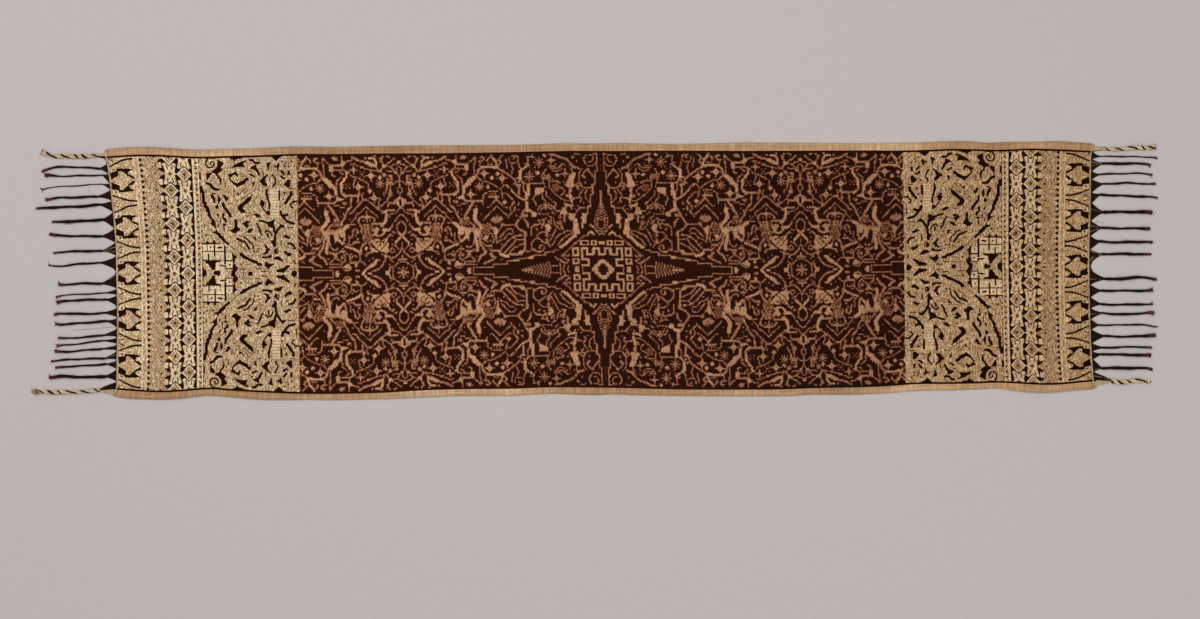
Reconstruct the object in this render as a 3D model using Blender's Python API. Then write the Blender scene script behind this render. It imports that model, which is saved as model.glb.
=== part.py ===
"""A double-ikat ceremonial cloth laid out flat: one woven length with two plain selvedge bands and two
gold-worked ends, and along each end a fringe of warp tassels that are fused at their roots."""

import math

import bmesh
import bpy

# All sizes are in millimetres. X runs along the cloth, Y across it, and Z is up from the surface it lies on.
MM = 0.001

SHEET_THICKNESS = 1.5
GOLD_RISE = 0.5  # how far the gold thread stands above the plain ikat
GOLD_WEST = -630.0  # where the gold work stops, at the middle of the width
GOLD_EAST = 623.0
GOLD_RAMP = 3.0
WEST_BASE = -1004.0  # the straight line that each woven end is measured from
EAST_BASE = 1006.0
STATION_PITCH = 18.0
END_EASE = 260.0  # how far into the cloth the shape of an end is felt
LEAN = -0.0125  # the weft leans this much along for each millimetre across
MIDDLE_ROWS = (-150.0, -75.0, 0.0, 75.0, 150.0)
COCKLE_REACH = 35.0  # how far in from a selvedge band a cockle dies out
BAND_LIFT = 0.55  # a cockle's height at the band's inner edge, as a share of that at its outer edge

GAP = 0.3  # between the cloth's end and the strip that holds the tassels
STRIP_WIDTH = 4.0
STRIP_HEIGHT = 1.5
CORD_HEIGHT = 0.85  # of a cord's width
FLARE_AT = 0.42  # where along the root wedge its sides have curved in
FLARE_WIDTH = 0.34  # what is left there of the root's extra width
PATH_STEPS = 3  # sections between two of a cord's points
KNOT_LENGTH = 15.0
KNOT_SECTIONS = (1.0, 0.75, 0.5, 0.25, 0.0)  # shares of the knot's length, back from the tip

# The two long edges: along, the outer edge, and the line where the plain band meets the pattern.
NORTH_EDGE = (
    (-1030, 241.5, 231),
    (-1010, 247, 233),
    (-979, 251.5, 236),
    (-938, 253, 238),
    (-896, 251.5, 237),
    (-834, 248, 233.5),
    (-772, 249.5, 235),
    (-710, 251, 236.5),
    (-627, 254, 239.5),
    (-565, 253.5, 239),
    (-441, 255.5, 240.5),
    (-358, 256.5, 240.5),
    (-193, 257.5, 243),
    (-68, 260.5, 245.5),
    (-27, 260, 245.5),
    (56, 261.5, 245.5),
    (97, 260, 246),
    (201, 260, 246),
    (284, 262, 245.5),
    (408, 262, 246),
    (553, 261, 246.5),
    (635, 262, 246.5),
    (718, 264.5, 249.5),
    (760, 264.5, 249.5),
    (801, 262, 248),
    (842, 264, 248.5),
    (884, 263.5, 250.5),
    (936, 265, 249),
    (977, 263, 247),
    (1008, 260.5, 245.5),
    (1030, 257, 245),
)
SOUTH_EDGE = (
    (-1030, -256, -245.5),
    (-1010, -261, -248),
    (-979, -267, -251),
    (-917, -268.5, -254.5),
    (-876, -267, -252.5),
    (-834, -262, -249),
    (-809, -261, -248),
    (-772, -264.5, -251),
    (-720, -268.5, -254),
    (-627, -269.5, -257.5),
    (-544, -270, -257.5),
    (-462, -268, -255.5),
    (-379, -264.5, -250.5),
    (-296, -261.5, -248),
    (-193, -261, -247),
    (-110, -257, -244),
    (-27, -260, -244.5),
    (14, -258, -245),
    (77, -260, -246.5),
    (159, -261.5, -248.5),
    (366, -262, -248.5),
    (428, -259, -246),
    (511, -258.5, -244.5),
    (573, -256.5, -242.5),
    (646, -251, -237.5),
    (718, -249.5, -237),
    (780, -247, -235.5),
    (814, -246, -234.5),
    (842, -250.5, -235.5),
    (905, -255, -239),
    (946, -252, -237.5),
    (987, -249, -233.5),
    (1030, -243, -230),
)
# The two woven ends: across, and how far along the weave stops there.
WEST_END = (
    (-262, -1012),
    (-245, -1006),
    (-208, -1004.5),
    (-146, -1004),
    (-63, -1004.5),
    (0, -1005.5),
    (40, -1006.5),
    (82, -1009.5),
    (144, -1015.5),
    (206, -1022.5),
    (231, -1027),
    (242, -1028),
)
EAST_END = (
    (-245, 1016),
    (-229, 1014),
    (-198, 1011),
    (-146, 1008),
    (-63, 1005.5),
    (0, 1004.5),
    (61, 1005),
    (144, 1007.5),
    (227, 1008.5),
    (245, 1010),
    (261, 1011),
)
# Low cockles beside the long edges: along, half length, height of the lift.
NORTH_COCKLES = ((-905, 75, 1.6), (-640, 80, 1.1), (-55, 95, 1.3), (290, 80, 1.0), (735, 75, 1.9))
SOUTH_COCKLES = ((-880, 90, 2.0), (-690, 85, 1.7), (-400, 80, 1.2), (40, 90, 1.0), (500, 80, 1.1), (890, 85, 2.2))

# Tassels from north to south. Root top and foot are places across the cloth. Each later pair is a point on
# the cord, as the distance out from the end's base line and the place across. Then the cord's width, the
# width at its tip, and the width of the knot near it, if any.
WEST_STRANDS = (
    # root_top, root_foot, neck, bend, late, tip, width, tip_width, knot
    (241, 230, (42, 235), (90, 234), (131, 235), (155, 242), 6, 5, 0),
    (219, 200, (38, 209), (95, 212), (132, 211), (156, 204), 3.5, 3.5, 0),
    (197, 180, (32, 195), (80, 194), (121, 193), (149, 196), 3, 5, 0),
    (177, 166, (32, 177), (90, 173), (138, 170), (156, 165), 2, 1.5, 0),
    (164, 144, (42, 151), (90, 149), (125, 148), (148, 144), 4, 4, 0),
    (141, 121, (38, 134), (84, 130), (121, 129), (167, 126), 4.5, 3, 0),
    (118, 87, (32, 103), (76, 100), (111, 99), (134, 98), 5, 3, 0),
    (84, 57, (34, 69), (76, 69), (117, 70), (140, 72), 4, 4, 0),
    (55, 30, (32, 38), (76, 38), (115, 36), (131, 35), 4, 2.5, 0),
    (26, -1, (38, 14), (84, 11), (117, 7), (142, 7), 3.5, 2, 0),
    (-9, -38, (34, -29), (71, -29), (105, -31), (121, -33), 4, 3.5, 0),
    (-41, -52, (26, -49), (71, -51), (109, -53), (126, -55), 2.5, 2.5, 0),
    (-55, -75, (24, -62), (67, -63), (105, -65), (125, -68), 4, 5, 0),
    (-81, -98, (28, -90), (67, -92), (109, -91), (130, -92), 4, 4, 0),
    (-101, -119, (22, -107), (63, -110), (105, -113), (128, -114), 4, 3, 0),
    (-124, -139, (30, -136), (67, -140), (100, -142), (121, -143), 3.5, 3, 0),
    (-142, -153, (30, -147), (67, -152), (100, -156), (125, -157), 3, 3, 0),
    (-156, -167, (32, -164), (67, -167), (100, -170), (129, -170), 3.5, 4, 0),
    (-170, -186, (28, -184), (67, -185), (109, -187), (137, -190), 3.5, 2.5, 0),
    (-189, -205, (24, -196), (67, -199), (105, -201), (127, -203), 3.5, 3, 0),
    (-208, -231, (26, -221), (67, -223), (111, -221), (140, -224), 5, 5, 0),
    (-234, -260, (38, -250), (84, -253), (138, -254), (175, -253), 5.5, 5, 14),
)
EAST_STRANDS = (
    (257, 245, (29, 249), (62, 249), (104, 252), (135, 251), 5.5, 6, 0),
    (242, 229, (23, 234), (62, 234), (108, 233), (139, 232), 2.5, 2.5, 0),
    (227, 205, (27, 219), (62, 219), (104, 219), (126, 218), 4.5, 3.5, 0),
    (202, 188, (21, 197), (56, 198), (99, 199), (128, 197), 3, 2.5, 0),
    (186, 161, (29, 177), (56, 178), (83, 179), (135, 176), 3.5, 3, 0),
    (158, 139, (23, 155), (56, 153), (108, 151), (139, 149), 4, 2.5, 0),
    (137, 103, (29, 119), (66, 119), (104, 119), (129, 118), 5, 5.5, 0),
    (100, 71, (27, 86), (62, 85), (99, 85), (124, 85), 4, 4.5, 0),
    (68, 43, (23, 58), (56, 56), (91, 57), (129, 57), 4.5, 4, 0),
    (40, 15, (27, 32), (56, 32), (87, 32), (126, 31), 4.5, 4, 0),
    (-2, -30, (33, -19), (62, -20), (99, -16), (137, -20), 5, 4, 8.5),
    (-33, -56, (25, -44), (62, -44), (99, -44), (130, -44), 4, 4, 0),
    (-59, -79, (25, -72), (62, -73), (104, -72), (129, -73), 4, 2.5, 0),
    (-82, -101, (27, -90), (66, -93), (104, -91), (132, -89), 4, 5, 0),
    (-104, -123, (21, -115), (62, -115), (104, -114), (139, -119), 3, 2.5, 0),
    (-126, -151, (33, -138), (66, -139), (108, -138), (135, -135), 4, 6, 0),
    (-154, -168, (29, -162), (62, -161), (99, -160), (127, -162), 3.5, 3, 0),
    (-171, -185, (25, -175), (56, -176), (97, -177), (126, -178), 4.5, 5.5, 0),
    (-188, -211, (27, -204), (62, -204), (99, -204), (129, -205), 5, 4, 0),
    (-214, -241, (46, -231), (70, -233), (104, -230), (125, -232), 6, 4, 0),
)

IKAT = (0.13, 0.075, 0.045)
WARP_END = (0.022, 0.012, 0.009)


def clear_scene():
    for thing in list(bpy.data.objects):
        bpy.data.objects.remove(thing, do_unlink=True)


def make_material(name, colour, roughness):
    material = bpy.data.materials.new(name)
    material.use_nodes = True
    shader = material.node_tree.nodes["Principled BSDF"]
    shader.inputs["Base Color"].default_value = (*colour, 1)
    shader.inputs["Roughness"].default_value = roughness
    shader.inputs["Metallic"].default_value = 0
    return material


def make_object(name, mesh, material):
    """The mesh as a named object of one material, turned from millimetres to metres."""
    bmesh.ops.scale(mesh, vec=(MM, MM, MM), verts=mesh.verts)
    bmesh.ops.recalc_face_normals(mesh, faces=mesh.faces)
    data = bpy.data.meshes.new(name)
    mesh.to_mesh(data)
    mesh.free()
    data.materials.append(material)
    thing = bpy.data.objects.new(name, data)
    bpy.context.scene.collection.objects.link(thing)
    return thing


def smooth(table, at, column=1):
    """A table's column at any place, on a curve that runs smoothly through its rows."""
    at = min(max(at, table[0][0]), table[-1][0])
    last = len(table) - 1
    row = max(i for i in range(last) if table[i][0] <= at)
    places = [table[min(max(row + step, 0), last)][0] for step in (-1, 0, 1, 2)]
    values = [table[min(max(row + step, 0), last)][column] for step in (-1, 0, 1, 2)]
    span = places[2] - places[1]
    start_slope = (values[2] - values[0]) / (places[2] - places[0])
    end_slope = (values[3] - values[1]) / (places[3] - places[1])
    t = (at - places[1]) / span
    return (
        (2 * t**3 - 3 * t**2 + 1) * values[1]
        + (t**3 - 2 * t**2 + t) * span * start_slope
        + (3 * t**2 - 2 * t**3) * values[2]
        + (t**3 - t**2) * span * end_slope
    )


def lift_at(cockles, along):
    lift = 0.0
    for centre, half_length, height in cockles:
        away = abs(along - centre) / half_length
        if away < 1:
            lift += height * math.cos(away * math.pi / 2) ** 2
    return lift


def rows_at(along):
    """The rows from south to north at this place along the cloth, each as its place across and its lift."""
    south, south_band = smooth(SOUTH_EDGE, along, 1), smooth(SOUTH_EDGE, along, 2)
    north, north_band = smooth(NORTH_EDGE, along, 1), smooth(NORTH_EDGE, along, 2)
    south_lift, north_lift = lift_at(SOUTH_COCKLES, along), lift_at(NORTH_COCKLES, along)
    rows = [(south, south_lift), (south_band, south_lift * BAND_LIFT), (south_band + COCKLE_REACH, 0.0)]
    rows += [(across, 0.0) for across in MIDDLE_ROWS]
    rows += [(north_band - COCKLE_REACH, 0.0), (north_band, north_lift * BAND_LIFT), (north, north_lift)]
    return rows


def shifted_along(station, across):
    """Where a station's line crosses this row: it leans, and near an end it follows the end's own shape."""
    lean = LEAN * across
    west_share = max(0.0, 1 - (station - WEST_BASE) / END_EASE)
    east_share = max(0.0, 1 - (EAST_BASE - station) / END_EASE)
    west = smooth(WEST_END, across) - WEST_BASE - lean
    east = smooth(EAST_END, across) - EAST_BASE - lean
    return station + lean + west * west_share + east * east_share


def thickness_at(along, across):
    """The sheet's thickness, which steps up over a short ramp where the gold work begins."""
    past = max(GOLD_WEST - (along - LEAN * across), (along - LEAN * across) - GOLD_EAST)
    return SHEET_THICKNESS + GOLD_RISE * min(max(past / GOLD_RAMP + 0.5, 0.0), 1.0)


def stations():
    """Places along the cloth, evenly spread, with two extra at each edge of the gold work."""
    ramps = [gold + side * GOLD_RAMP / 2 for gold in (GOLD_WEST, GOLD_EAST) for side in (-1, 1)]
    count = round((EAST_BASE - WEST_BASE) / STATION_PITCH)
    even = [WEST_BASE + (EAST_BASE - WEST_BASE) * i / count for i in range(count + 1)]
    clear = [s for s in even if all(abs(s - ramp) > STATION_PITCH / 3 for ramp in ramps)]
    return sorted(clear + ramps)


def end_line(station):
    """The cloth's end as points across and along, from south to north."""
    rows = [across for across, _ in rows_at(station)]
    return [(across, shifted_along(station, across)) for across in rows]


def along_line(line, across):
    """Where a line of straight stretches is, along the cloth, at this place across it."""
    across = min(max(across, line[0][0]), line[-1][0])
    for (low, low_along), (high, high_along) in zip(line, line[1:]):
        if across <= high:
            return low_along + (high_along - low_along) * (across - low) / (high - low)
    return line[-1][1]


def make_cloth():
    mesh = bmesh.new()
    lower, upper = [], []
    for station in stations():
        below, above = [], []
        for across, lift in rows_at(station):
            along = shifted_along(station, across)
            below.append(mesh.verts.new((along, across, lift)))
            above.append(mesh.verts.new((along, across, lift + thickness_at(along, across))))
        lower.append(below)
        upper.append(above)
    for i in range(len(upper) - 1):
        for j in range(len(upper[0]) - 1):
            mesh.faces.new((upper[i][j], upper[i + 1][j], upper[i + 1][j + 1], upper[i][j + 1]))
            mesh.faces.new((lower[i][j + 1], lower[i + 1][j + 1], lower[i + 1][j], lower[i][j]))
        for j in (0, -1):
            mesh.faces.new((lower[i][j], lower[i + 1][j], upper[i + 1][j], upper[i][j]))
    for i in (0, -1):
        for j in range(len(upper[0]) - 1):
            mesh.faces.new((lower[i][j], upper[i][j], upper[i][j + 1], lower[i][j + 1]))
    return make_object("cloth", mesh, make_material("woven_ikat", IKAT, 0.9))


def cord_path(points):
    """A smooth curve through a cord's few points, as a list of places on the surface."""
    path = []
    last = len(points) - 1
    for i in range(last):
        before, start, end, after = (points[min(max(i + step, 0), last)] for step in (-1, 0, 1, 2))
        for step in range(PATH_STEPS):
            t = step / PATH_STEPS
            path.append(
                tuple(
                    0.5
                    * (
                        2 * start[k]
                        + (end[k] - before[k]) * t
                        + (2 * before[k] - 5 * start[k] + 4 * end[k] - after[k]) * t**2
                        + (3 * start[k] - before[k] - 3 * end[k] + after[k]) * t**3
                    )
                    for k in (0, 1)
                )
            )
    path.append(points[last])
    return path


def with_knot(path):
    """The path with its last stretch replaced by even sections through the knot at its tip."""
    tip = path[-1]
    kept = [place for place in path if math.dist(place, tip) > 1.2 * KNOT_LENGTH]
    reach = math.dist(kept[-1], tip)
    shares = [1 - KNOT_LENGTH * back / reach for back in KNOT_SECTIONS]
    return kept + [tuple(kept[-1][k] + (tip[k] - kept[-1][k]) * share for k in (0, 1)) for share in shares]


def cord_widths(path, width, tip_width, knot):
    """The cord's width at each place on its path, with a knot swelling near the tip where it has one."""
    left = [0.0]
    for near, far in zip(reversed(path[:-1]), reversed(path[1:])):
        left.insert(0, left[0] + math.dist(near, far))
    widths = []
    for distance in left:
        grown = width + (tip_width - width) * max(0.0, 1 - distance / (2 * KNOT_LENGTH))
        if knot:
            away = abs(distance - KNOT_LENGTH / 2) / (KNOT_LENGTH / 2)
            grown += (knot - grown) * max(0.0, 1 - away**2)
        widths.append(grown)
    return widths


def draw_out(mesh, face, sections):
    """Extrudes a root face through sections, each with its centre, its direction across, width and height."""
    for (x, y), (across_x, across_y), width, height in sections:
        face = bmesh.ops.extrude_discrete_faces(mesh, faces=[face])["faces"][0]
        sides = ((0.5, 0), (-0.5, 0), (-0.5, height), (0.5, height))
        for corner, (side, z) in zip(face.verts, sides):
            corner.co = (x + across_x * side * width, y + across_y * side * width, z)


def strand_sections(root, base, way, strand):
    """A tassel's sections from its flared root to its tip."""
    _, _, *points, width, tip_width, knot = strand
    points = [(base + way * out, across) for out, across in points]
    path = with_knot(cord_path(points)) if knot else cord_path(points)
    widths = cord_widths(path, width, tip_width, knot)
    (root_x, root_y), root_width = root
    neck_x, neck_y = path[0]
    flare = (root_x + (neck_x - root_x) * FLARE_AT, root_y + (neck_y - root_y) * FLARE_AT)
    flare_width = width + (root_width - width) * FLARE_WIDTH
    sections = [(flare, (0, 1), flare_width, STRIP_HEIGHT * 1.2)]
    for i, (place, here) in enumerate(zip(path, widths)):
        behind, ahead = path[max(i - 1, 0)], path[min(i + 1, len(path) - 1)]
        length = math.dist(behind, ahead)
        across = ((behind[1] - ahead[1]) / length * way * -1, (ahead[0] - behind[0]) / length * way)
        sections.append((place, across, here, here * CORD_HEIGHT))
    return sections


def make_fringe(name, line, base, way, strands):
    """A strip that follows the cloth's end, with its tassels drawn out of the strip's outer side."""
    mesh = bmesh.new()
    breaks = [line[-1][0]]
    for strand in strands:
        breaks += [strand[0], strand[1]]
    breaks = [*breaks, line[0][0]]
    rungs = []
    for across in breaks:
        inner = along_line(line, across) + way * GAP
        outer = inner + way * STRIP_WIDTH
        rungs.append(
            [mesh.verts.new((x, across, z)) for x, z in
             ((inner, 0), (outer, 0), (outer, STRIP_HEIGHT), (inner, STRIP_HEIGHT))]
        )
    mesh.faces.new(rungs[0])
    mesh.faces.new(reversed(rungs[-1]))
    roots = []
    for above, below in zip(rungs, rungs[1:]):
        mesh.faces.new((above[1], above[0], below[0], below[1]))
        mesh.faces.new((above[3], above[2], below[2], below[3]))
        mesh.faces.new((above[0], above[3], below[3], below[0]))
        roots.append(mesh.faces.new((above[1], below[1], below[2], above[2])))
    for strand, face in zip(strands, roots[1::2]):
        top, foot = strand[0], strand[1]
        middle = (top + foot) / 2
        root = ((along_line(line, middle) + way * (GAP + STRIP_WIDTH), middle), top - foot)
        draw_out(mesh, face, strand_sections(root, base, way, strand))
    return make_object(name, mesh, make_material(name + "_warp", WARP_END, 0.85))


def centre_on_origin(things):
    """Moves every mesh so that the whole cloth's box stands centred on the origin."""
    corners = [vertex.co for thing in things for vertex in thing.data.vertices]
    middle = [(min(c[k] for c in corners) + max(c[k] for c in corners)) / 2 for k in (0, 1)]
    for thing in things:
        for vertex in thing.data.vertices:
            vertex.co.x -= middle[0]
            vertex.co.y -= middle[1]


clear_scene()
cloth = make_cloth()
fringe_west = make_fringe("fringe_west", end_line(WEST_BASE), WEST_BASE, -1, WEST_STRANDS)
fringe_east = make_fringe("fringe_east", end_line(EAST_BASE), EAST_BASE, 1, EAST_STRANDS)
centre_on_origin([cloth, fringe_west, fringe_east])
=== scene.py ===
import math

import bpy
import numpy as np
from mathutils import Matrix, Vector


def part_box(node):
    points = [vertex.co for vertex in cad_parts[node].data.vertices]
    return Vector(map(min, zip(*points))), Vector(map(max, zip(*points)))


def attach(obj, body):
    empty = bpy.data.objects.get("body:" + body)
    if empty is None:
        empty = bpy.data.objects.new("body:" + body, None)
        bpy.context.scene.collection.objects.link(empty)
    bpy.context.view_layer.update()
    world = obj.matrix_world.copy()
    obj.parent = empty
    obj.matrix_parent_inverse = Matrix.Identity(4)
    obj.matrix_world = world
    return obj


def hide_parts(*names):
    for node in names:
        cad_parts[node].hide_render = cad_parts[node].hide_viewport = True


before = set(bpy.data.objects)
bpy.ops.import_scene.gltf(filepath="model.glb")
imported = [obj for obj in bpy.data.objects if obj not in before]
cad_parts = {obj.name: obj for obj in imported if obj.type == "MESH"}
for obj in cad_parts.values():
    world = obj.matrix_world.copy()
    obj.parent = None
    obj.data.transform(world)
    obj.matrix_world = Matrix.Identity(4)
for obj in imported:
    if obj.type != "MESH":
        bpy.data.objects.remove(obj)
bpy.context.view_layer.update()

MM = 0.001
PIXEL = 2.07  # millimetres of cloth that one pixel of the 1200 by 619 photograph shows

# The camera looks straight down on the cloth.
CAMERA_HEIGHT = 6.0
CAMERA_AT = (0.0107, -0.0803)
VIEW_WIDTH = 1200 * PIXEL * MM
SENSOR = 36.0
CLIP_END = 100.0


def make_camera():
    """Looks straight down, and shows at the cloth's height what the photograph shows."""
    data = bpy.data.cameras.new("camera")
    data.sensor_width = SENSOR
    data.lens = SENSOR * CAMERA_HEIGHT / VIEW_WIDTH
    data.clip_end = CLIP_END
    camera = bpy.data.objects.new("camera", data)
    camera.location = (*CAMERA_AT, CAMERA_HEIGHT)
    bpy.context.scene.collection.objects.link(camera)
    bpy.context.scene.camera = camera


make_camera()

# The cloth's own shape, as its solids have it.
SHEET_THICKNESS = 1.5
GOLD_RISE = 0.5  # how much thicker the gold work is
GOLD_WEST = -630.0  # where the gold work stops, at the middle of the width
GOLD_EAST = 623.0
GOLD_RAMP = 3.0  # the length over which the gold work rises
WEST_BASE = -1004.0  # the base lines of the two woven ends
EAST_BASE = 1006.0
END_EASE = 260.0  # how far in from an end the weft follows that end's shape
LEAN = -0.0125  # of the weft, along for each unit across
COCKLE_REACH = 35.0  # how far in from a band a cockle dies out
BAND_LIFT = 0.55  # the share of a cockle's lift that is left at the band's inner edge
GAP = 0.3  # between the woven end and the fringe's roots
KNOT_LENGTH = 15.0

# The two long edges: along, the outer edge, and the line where the plain band meets the pattern.
NORTH_EDGE = (
    (-1030, 241.5, 231), (-1010, 247, 233), (-979, 251.5, 236), (-938, 253, 238), (-896, 251.5, 237),
    (-834, 248, 233.5), (-772, 249.5, 235), (-710, 251, 236.5), (-627, 254, 239.5), (-565, 253.5, 239),
    (-441, 255.5, 240.5), (-358, 256.5, 240.5), (-193, 257.5, 243), (-68, 260.5, 245.5),
    (-27, 260, 245.5), (56, 261.5, 245.5), (97, 260, 246), (201, 260, 246), (284, 262, 245.5),
    (408, 262, 246), (553, 261, 246.5), (635, 262, 246.5), (718, 264.5, 249.5), (760, 264.5, 249.5),
    (801, 262, 248), (842, 264, 248.5), (884, 263.5, 250.5), (936, 265, 249), (977, 263, 247),
    (1008, 260.5, 245.5), (1030, 257, 245),
)
SOUTH_EDGE = (
    (-1030, -256, -245.5), (-1010, -261, -248), (-979, -267, -251), (-917, -268.5, -254.5),
    (-876, -267, -252.5), (-834, -262, -249), (-809, -261, -248), (-772, -264.5, -251),
    (-720, -268.5, -254), (-627, -269.5, -257.5), (-544, -270, -257.5), (-462, -268, -255.5),
    (-379, -264.5, -250.5), (-296, -261.5, -248), (-193, -261, -247), (-110, -257, -244),
    (-27, -260, -244.5), (14, -258, -245), (77, -260, -246.5), (159, -261.5, -248.5),
    (366, -262, -248.5), (428, -259, -246), (511, -258.5, -244.5), (573, -256.5, -242.5),
    (646, -251, -237.5), (718, -249.5, -237), (780, -247, -235.5), (814, -246, -234.5),
    (842, -250.5, -235.5), (905, -255, -239), (946, -252, -237.5), (987, -249, -233.5),
    (1030, -243, -230),
)
# The two woven ends: across, and how far along the weave stops there.
WEST_END = (
    (-262, -1012), (-245, -1006), (-208, -1004.5), (-146, -1004), (-63, -1004.5), (0, -1005.5),
    (40, -1006.5), (82, -1009.5), (144, -1015.5), (206, -1022.5), (231, -1027), (242, -1028),
)
EAST_END = (
    (-245, 1016), (-229, 1014), (-198, 1011), (-146, 1008), (-63, 1005.5), (0, 1004.5), (61, 1005),
    (144, 1007.5), (227, 1008.5), (245, 1010), (261, 1011),
)
# Low cockles beside the long edges: along, half length, height of the lift.
NORTH_COCKLES = ((-905, 75, 1.6), (-640, 80, 1.1), (-55, 95, 1.3), (290, 80, 1.0), (735, 75, 1.9))
SOUTH_COCKLES = (
    (-880, 90, 2.0), (-690, 85, 1.7), (-400, 80, 1.2), (40, 90, 1.0), (500, 80, 1.1), (890, 85, 2.2)
)

# Tassels from north to south. Root top and foot are places across the cloth. Each later pair is a point on
# the cord, as the distance out from the end's base line and the place across. Then the cord's width, the
# width at its tip, and the width of the knot near it, if any.
WEST_STRANDS = (
    (241, 230, (42, 235), (90, 234), (131, 235), (155, 242), 6, 5, 0),
    (219, 200, (38, 209), (95, 212), (132, 211), (156, 204), 3.5, 3.5, 0),
    (197, 180, (32, 195), (80, 194), (121, 193), (149, 196), 3, 5, 0),
    (177, 166, (32, 177), (90, 173), (138, 170), (156, 165), 2, 1.5, 0),
    (164, 144, (42, 151), (90, 149), (125, 148), (148, 144), 4, 4, 0),
    (141, 121, (38, 134), (84, 130), (121, 129), (167, 126), 4.5, 3, 0),
    (118, 87, (32, 103), (76, 100), (111, 99), (134, 98), 5, 3, 0),
    (84, 57, (34, 69), (76, 69), (117, 70), (140, 72), 4, 4, 0),
    (55, 30, (32, 38), (76, 38), (115, 36), (131, 35), 4, 2.5, 0),
    (26, -1, (38, 14), (84, 11), (117, 7), (142, 7), 3.5, 2, 0),
    (-9, -38, (34, -29), (71, -29), (105, -31), (121, -33), 4, 3.5, 0),
    (-41, -52, (26, -49), (71, -51), (109, -53), (126, -55), 2.5, 2.5, 0),
    (-55, -75, (24, -62), (67, -63), (105, -65), (125, -68), 4, 5, 0),
    (-81, -98, (28, -90), (67, -92), (109, -91), (130, -92), 4, 4, 0),
    (-101, -119, (22, -107), (63, -110), (105, -113), (128, -114), 4, 3, 0),
    (-124, -139, (30, -136), (67, -140), (100, -142), (121, -143), 3.5, 3, 0),
    (-142, -153, (30, -147), (67, -152), (100, -156), (125, -157), 3, 3, 0),
    (-156, -167, (32, -164), (67, -167), (100, -170), (129, -170), 3.5, 4, 0),
    (-170, -186, (28, -184), (67, -185), (109, -187), (137, -190), 3.5, 2.5, 0),
    (-189, -205, (24, -196), (67, -199), (105, -201), (127, -203), 3.5, 3, 0),
    (-208, -231, (26, -221), (67, -223), (111, -221), (140, -224), 5, 5, 0),
    (-234, -260, (38, -250), (84, -253), (138, -254), (175, -253), 5.5, 5, 14),
)
EAST_STRANDS = (
    (257, 245, (29, 249), (62, 249), (104, 252), (135, 251), 5.5, 6, 0),
    (242, 229, (23, 234), (62, 234), (108, 233), (139, 232), 2.5, 2.5, 0),
    (227, 205, (27, 219), (62, 219), (104, 219), (126, 218), 4.5, 3.5, 0),
    (202, 188, (21, 197), (56, 198), (99, 199), (128, 197), 3, 2.5, 0),
    (186, 161, (29, 177), (56, 178), (83, 179), (135, 176), 3.5, 3, 0),
    (158, 139, (23, 155), (56, 153), (108, 151), (139, 149), 4, 2.5, 0),
    (137, 103, (29, 119), (66, 119), (104, 119), (129, 118), 5, 5.5, 0),
    (100, 71, (27, 86), (62, 85), (99, 85), (124, 85), 4, 4.5, 0),
    (68, 43, (23, 58), (56, 56), (91, 57), (129, 57), 4.5, 4, 0),
    (40, 15, (27, 32), (56, 32), (87, 32), (126, 31), 4.5, 4, 0),
    (-2, -30, (33, -19), (62, -20), (99, -16), (137, -20), 5, 4, 8.5),
    (-33, -56, (25, -44), (62, -44), (99, -44), (130, -44), 4, 4, 0),
    (-59, -79, (25, -72), (62, -73), (104, -72), (129, -73), 4, 2.5, 0),
    (-82, -101, (27, -90), (66, -93), (104, -91), (132, -89), 4, 5, 0),
    (-104, -123, (21, -115), (62, -115), (104, -114), (139, -119), 3, 2.5, 0),
    (-126, -151, (33, -138), (66, -139), (108, -138), (135, -135), 4, 6, 0),
    (-154, -168, (29, -162), (62, -161), (99, -160), (127, -162), 3.5, 3, 0),
    (-171, -185, (25, -175), (56, -176), (97, -177), (126, -178), 4.5, 5.5, 0),
    (-188, -211, (27, -204), (62, -204), (99, -204), (129, -205), 5, 4, 0),
    (-214, -241, (46, -231), (70, -233), (104, -230), (125, -232), 6, 4, 0),
)


def smooth(table, at, column=1):
    """A table's column at any place, on a curve that runs smoothly through its rows."""
    at = min(max(at, table[0][0]), table[-1][0])
    last = len(table) - 1
    row = max(i for i in range(last) if table[i][0] <= at)
    places = [table[min(max(row + step, 0), last)][0] for step in (-1, 0, 1, 2)]
    values = [table[min(max(row + step, 0), last)][column] for step in (-1, 0, 1, 2)]
    span = places[2] - places[1]
    start_slope = (values[2] - values[0]) / (places[2] - places[0])
    end_slope = (values[3] - values[1]) / (places[3] - places[1])
    t = (at - places[1]) / span
    return (
        (2 * t**3 - 3 * t**2 + 1) * values[1]
        + (t**3 - 2 * t**2 + t) * span * start_slope
        + (3 * t**2 - 2 * t**3) * values[2]
        + (t**3 - t**2) * span * end_slope
    )


def lift_at(cockles, along):
    """How high a band's outer edge stands at this place along the cloth."""
    lift = 0.0
    for centre, half_length, height in cockles:
        away = abs(along - centre) / half_length
        if away < 1:
            lift += height * math.cos(away * math.pi / 2) ** 2
    return lift


def shifted_along(station, across):
    """Where a station's line crosses this row: it leans, and near an end it follows the end's own shape."""
    lean = LEAN * across
    west_share = max(0.0, 1 - (station - WEST_BASE) / END_EASE)
    east_share = max(0.0, 1 - (EAST_BASE - station) / END_EASE)
    west = smooth(WEST_END, across) - WEST_BASE - lean if west_share else 0.0
    east = smooth(EAST_END, across) - EAST_BASE - lean if east_share else 0.0
    return station + lean + west * west_share + east * east_share


def thickness_at(along, across):
    """How thick the cloth is here: thicker where it is worked with gold."""
    past = max(GOLD_WEST - (along - LEAN * across), (along - LEAN * across) - GOLD_EAST)
    return SHEET_THICKNESS + GOLD_RISE * min(max(past / GOLD_RAMP + 0.5, 0.0), 1.0)


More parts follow.
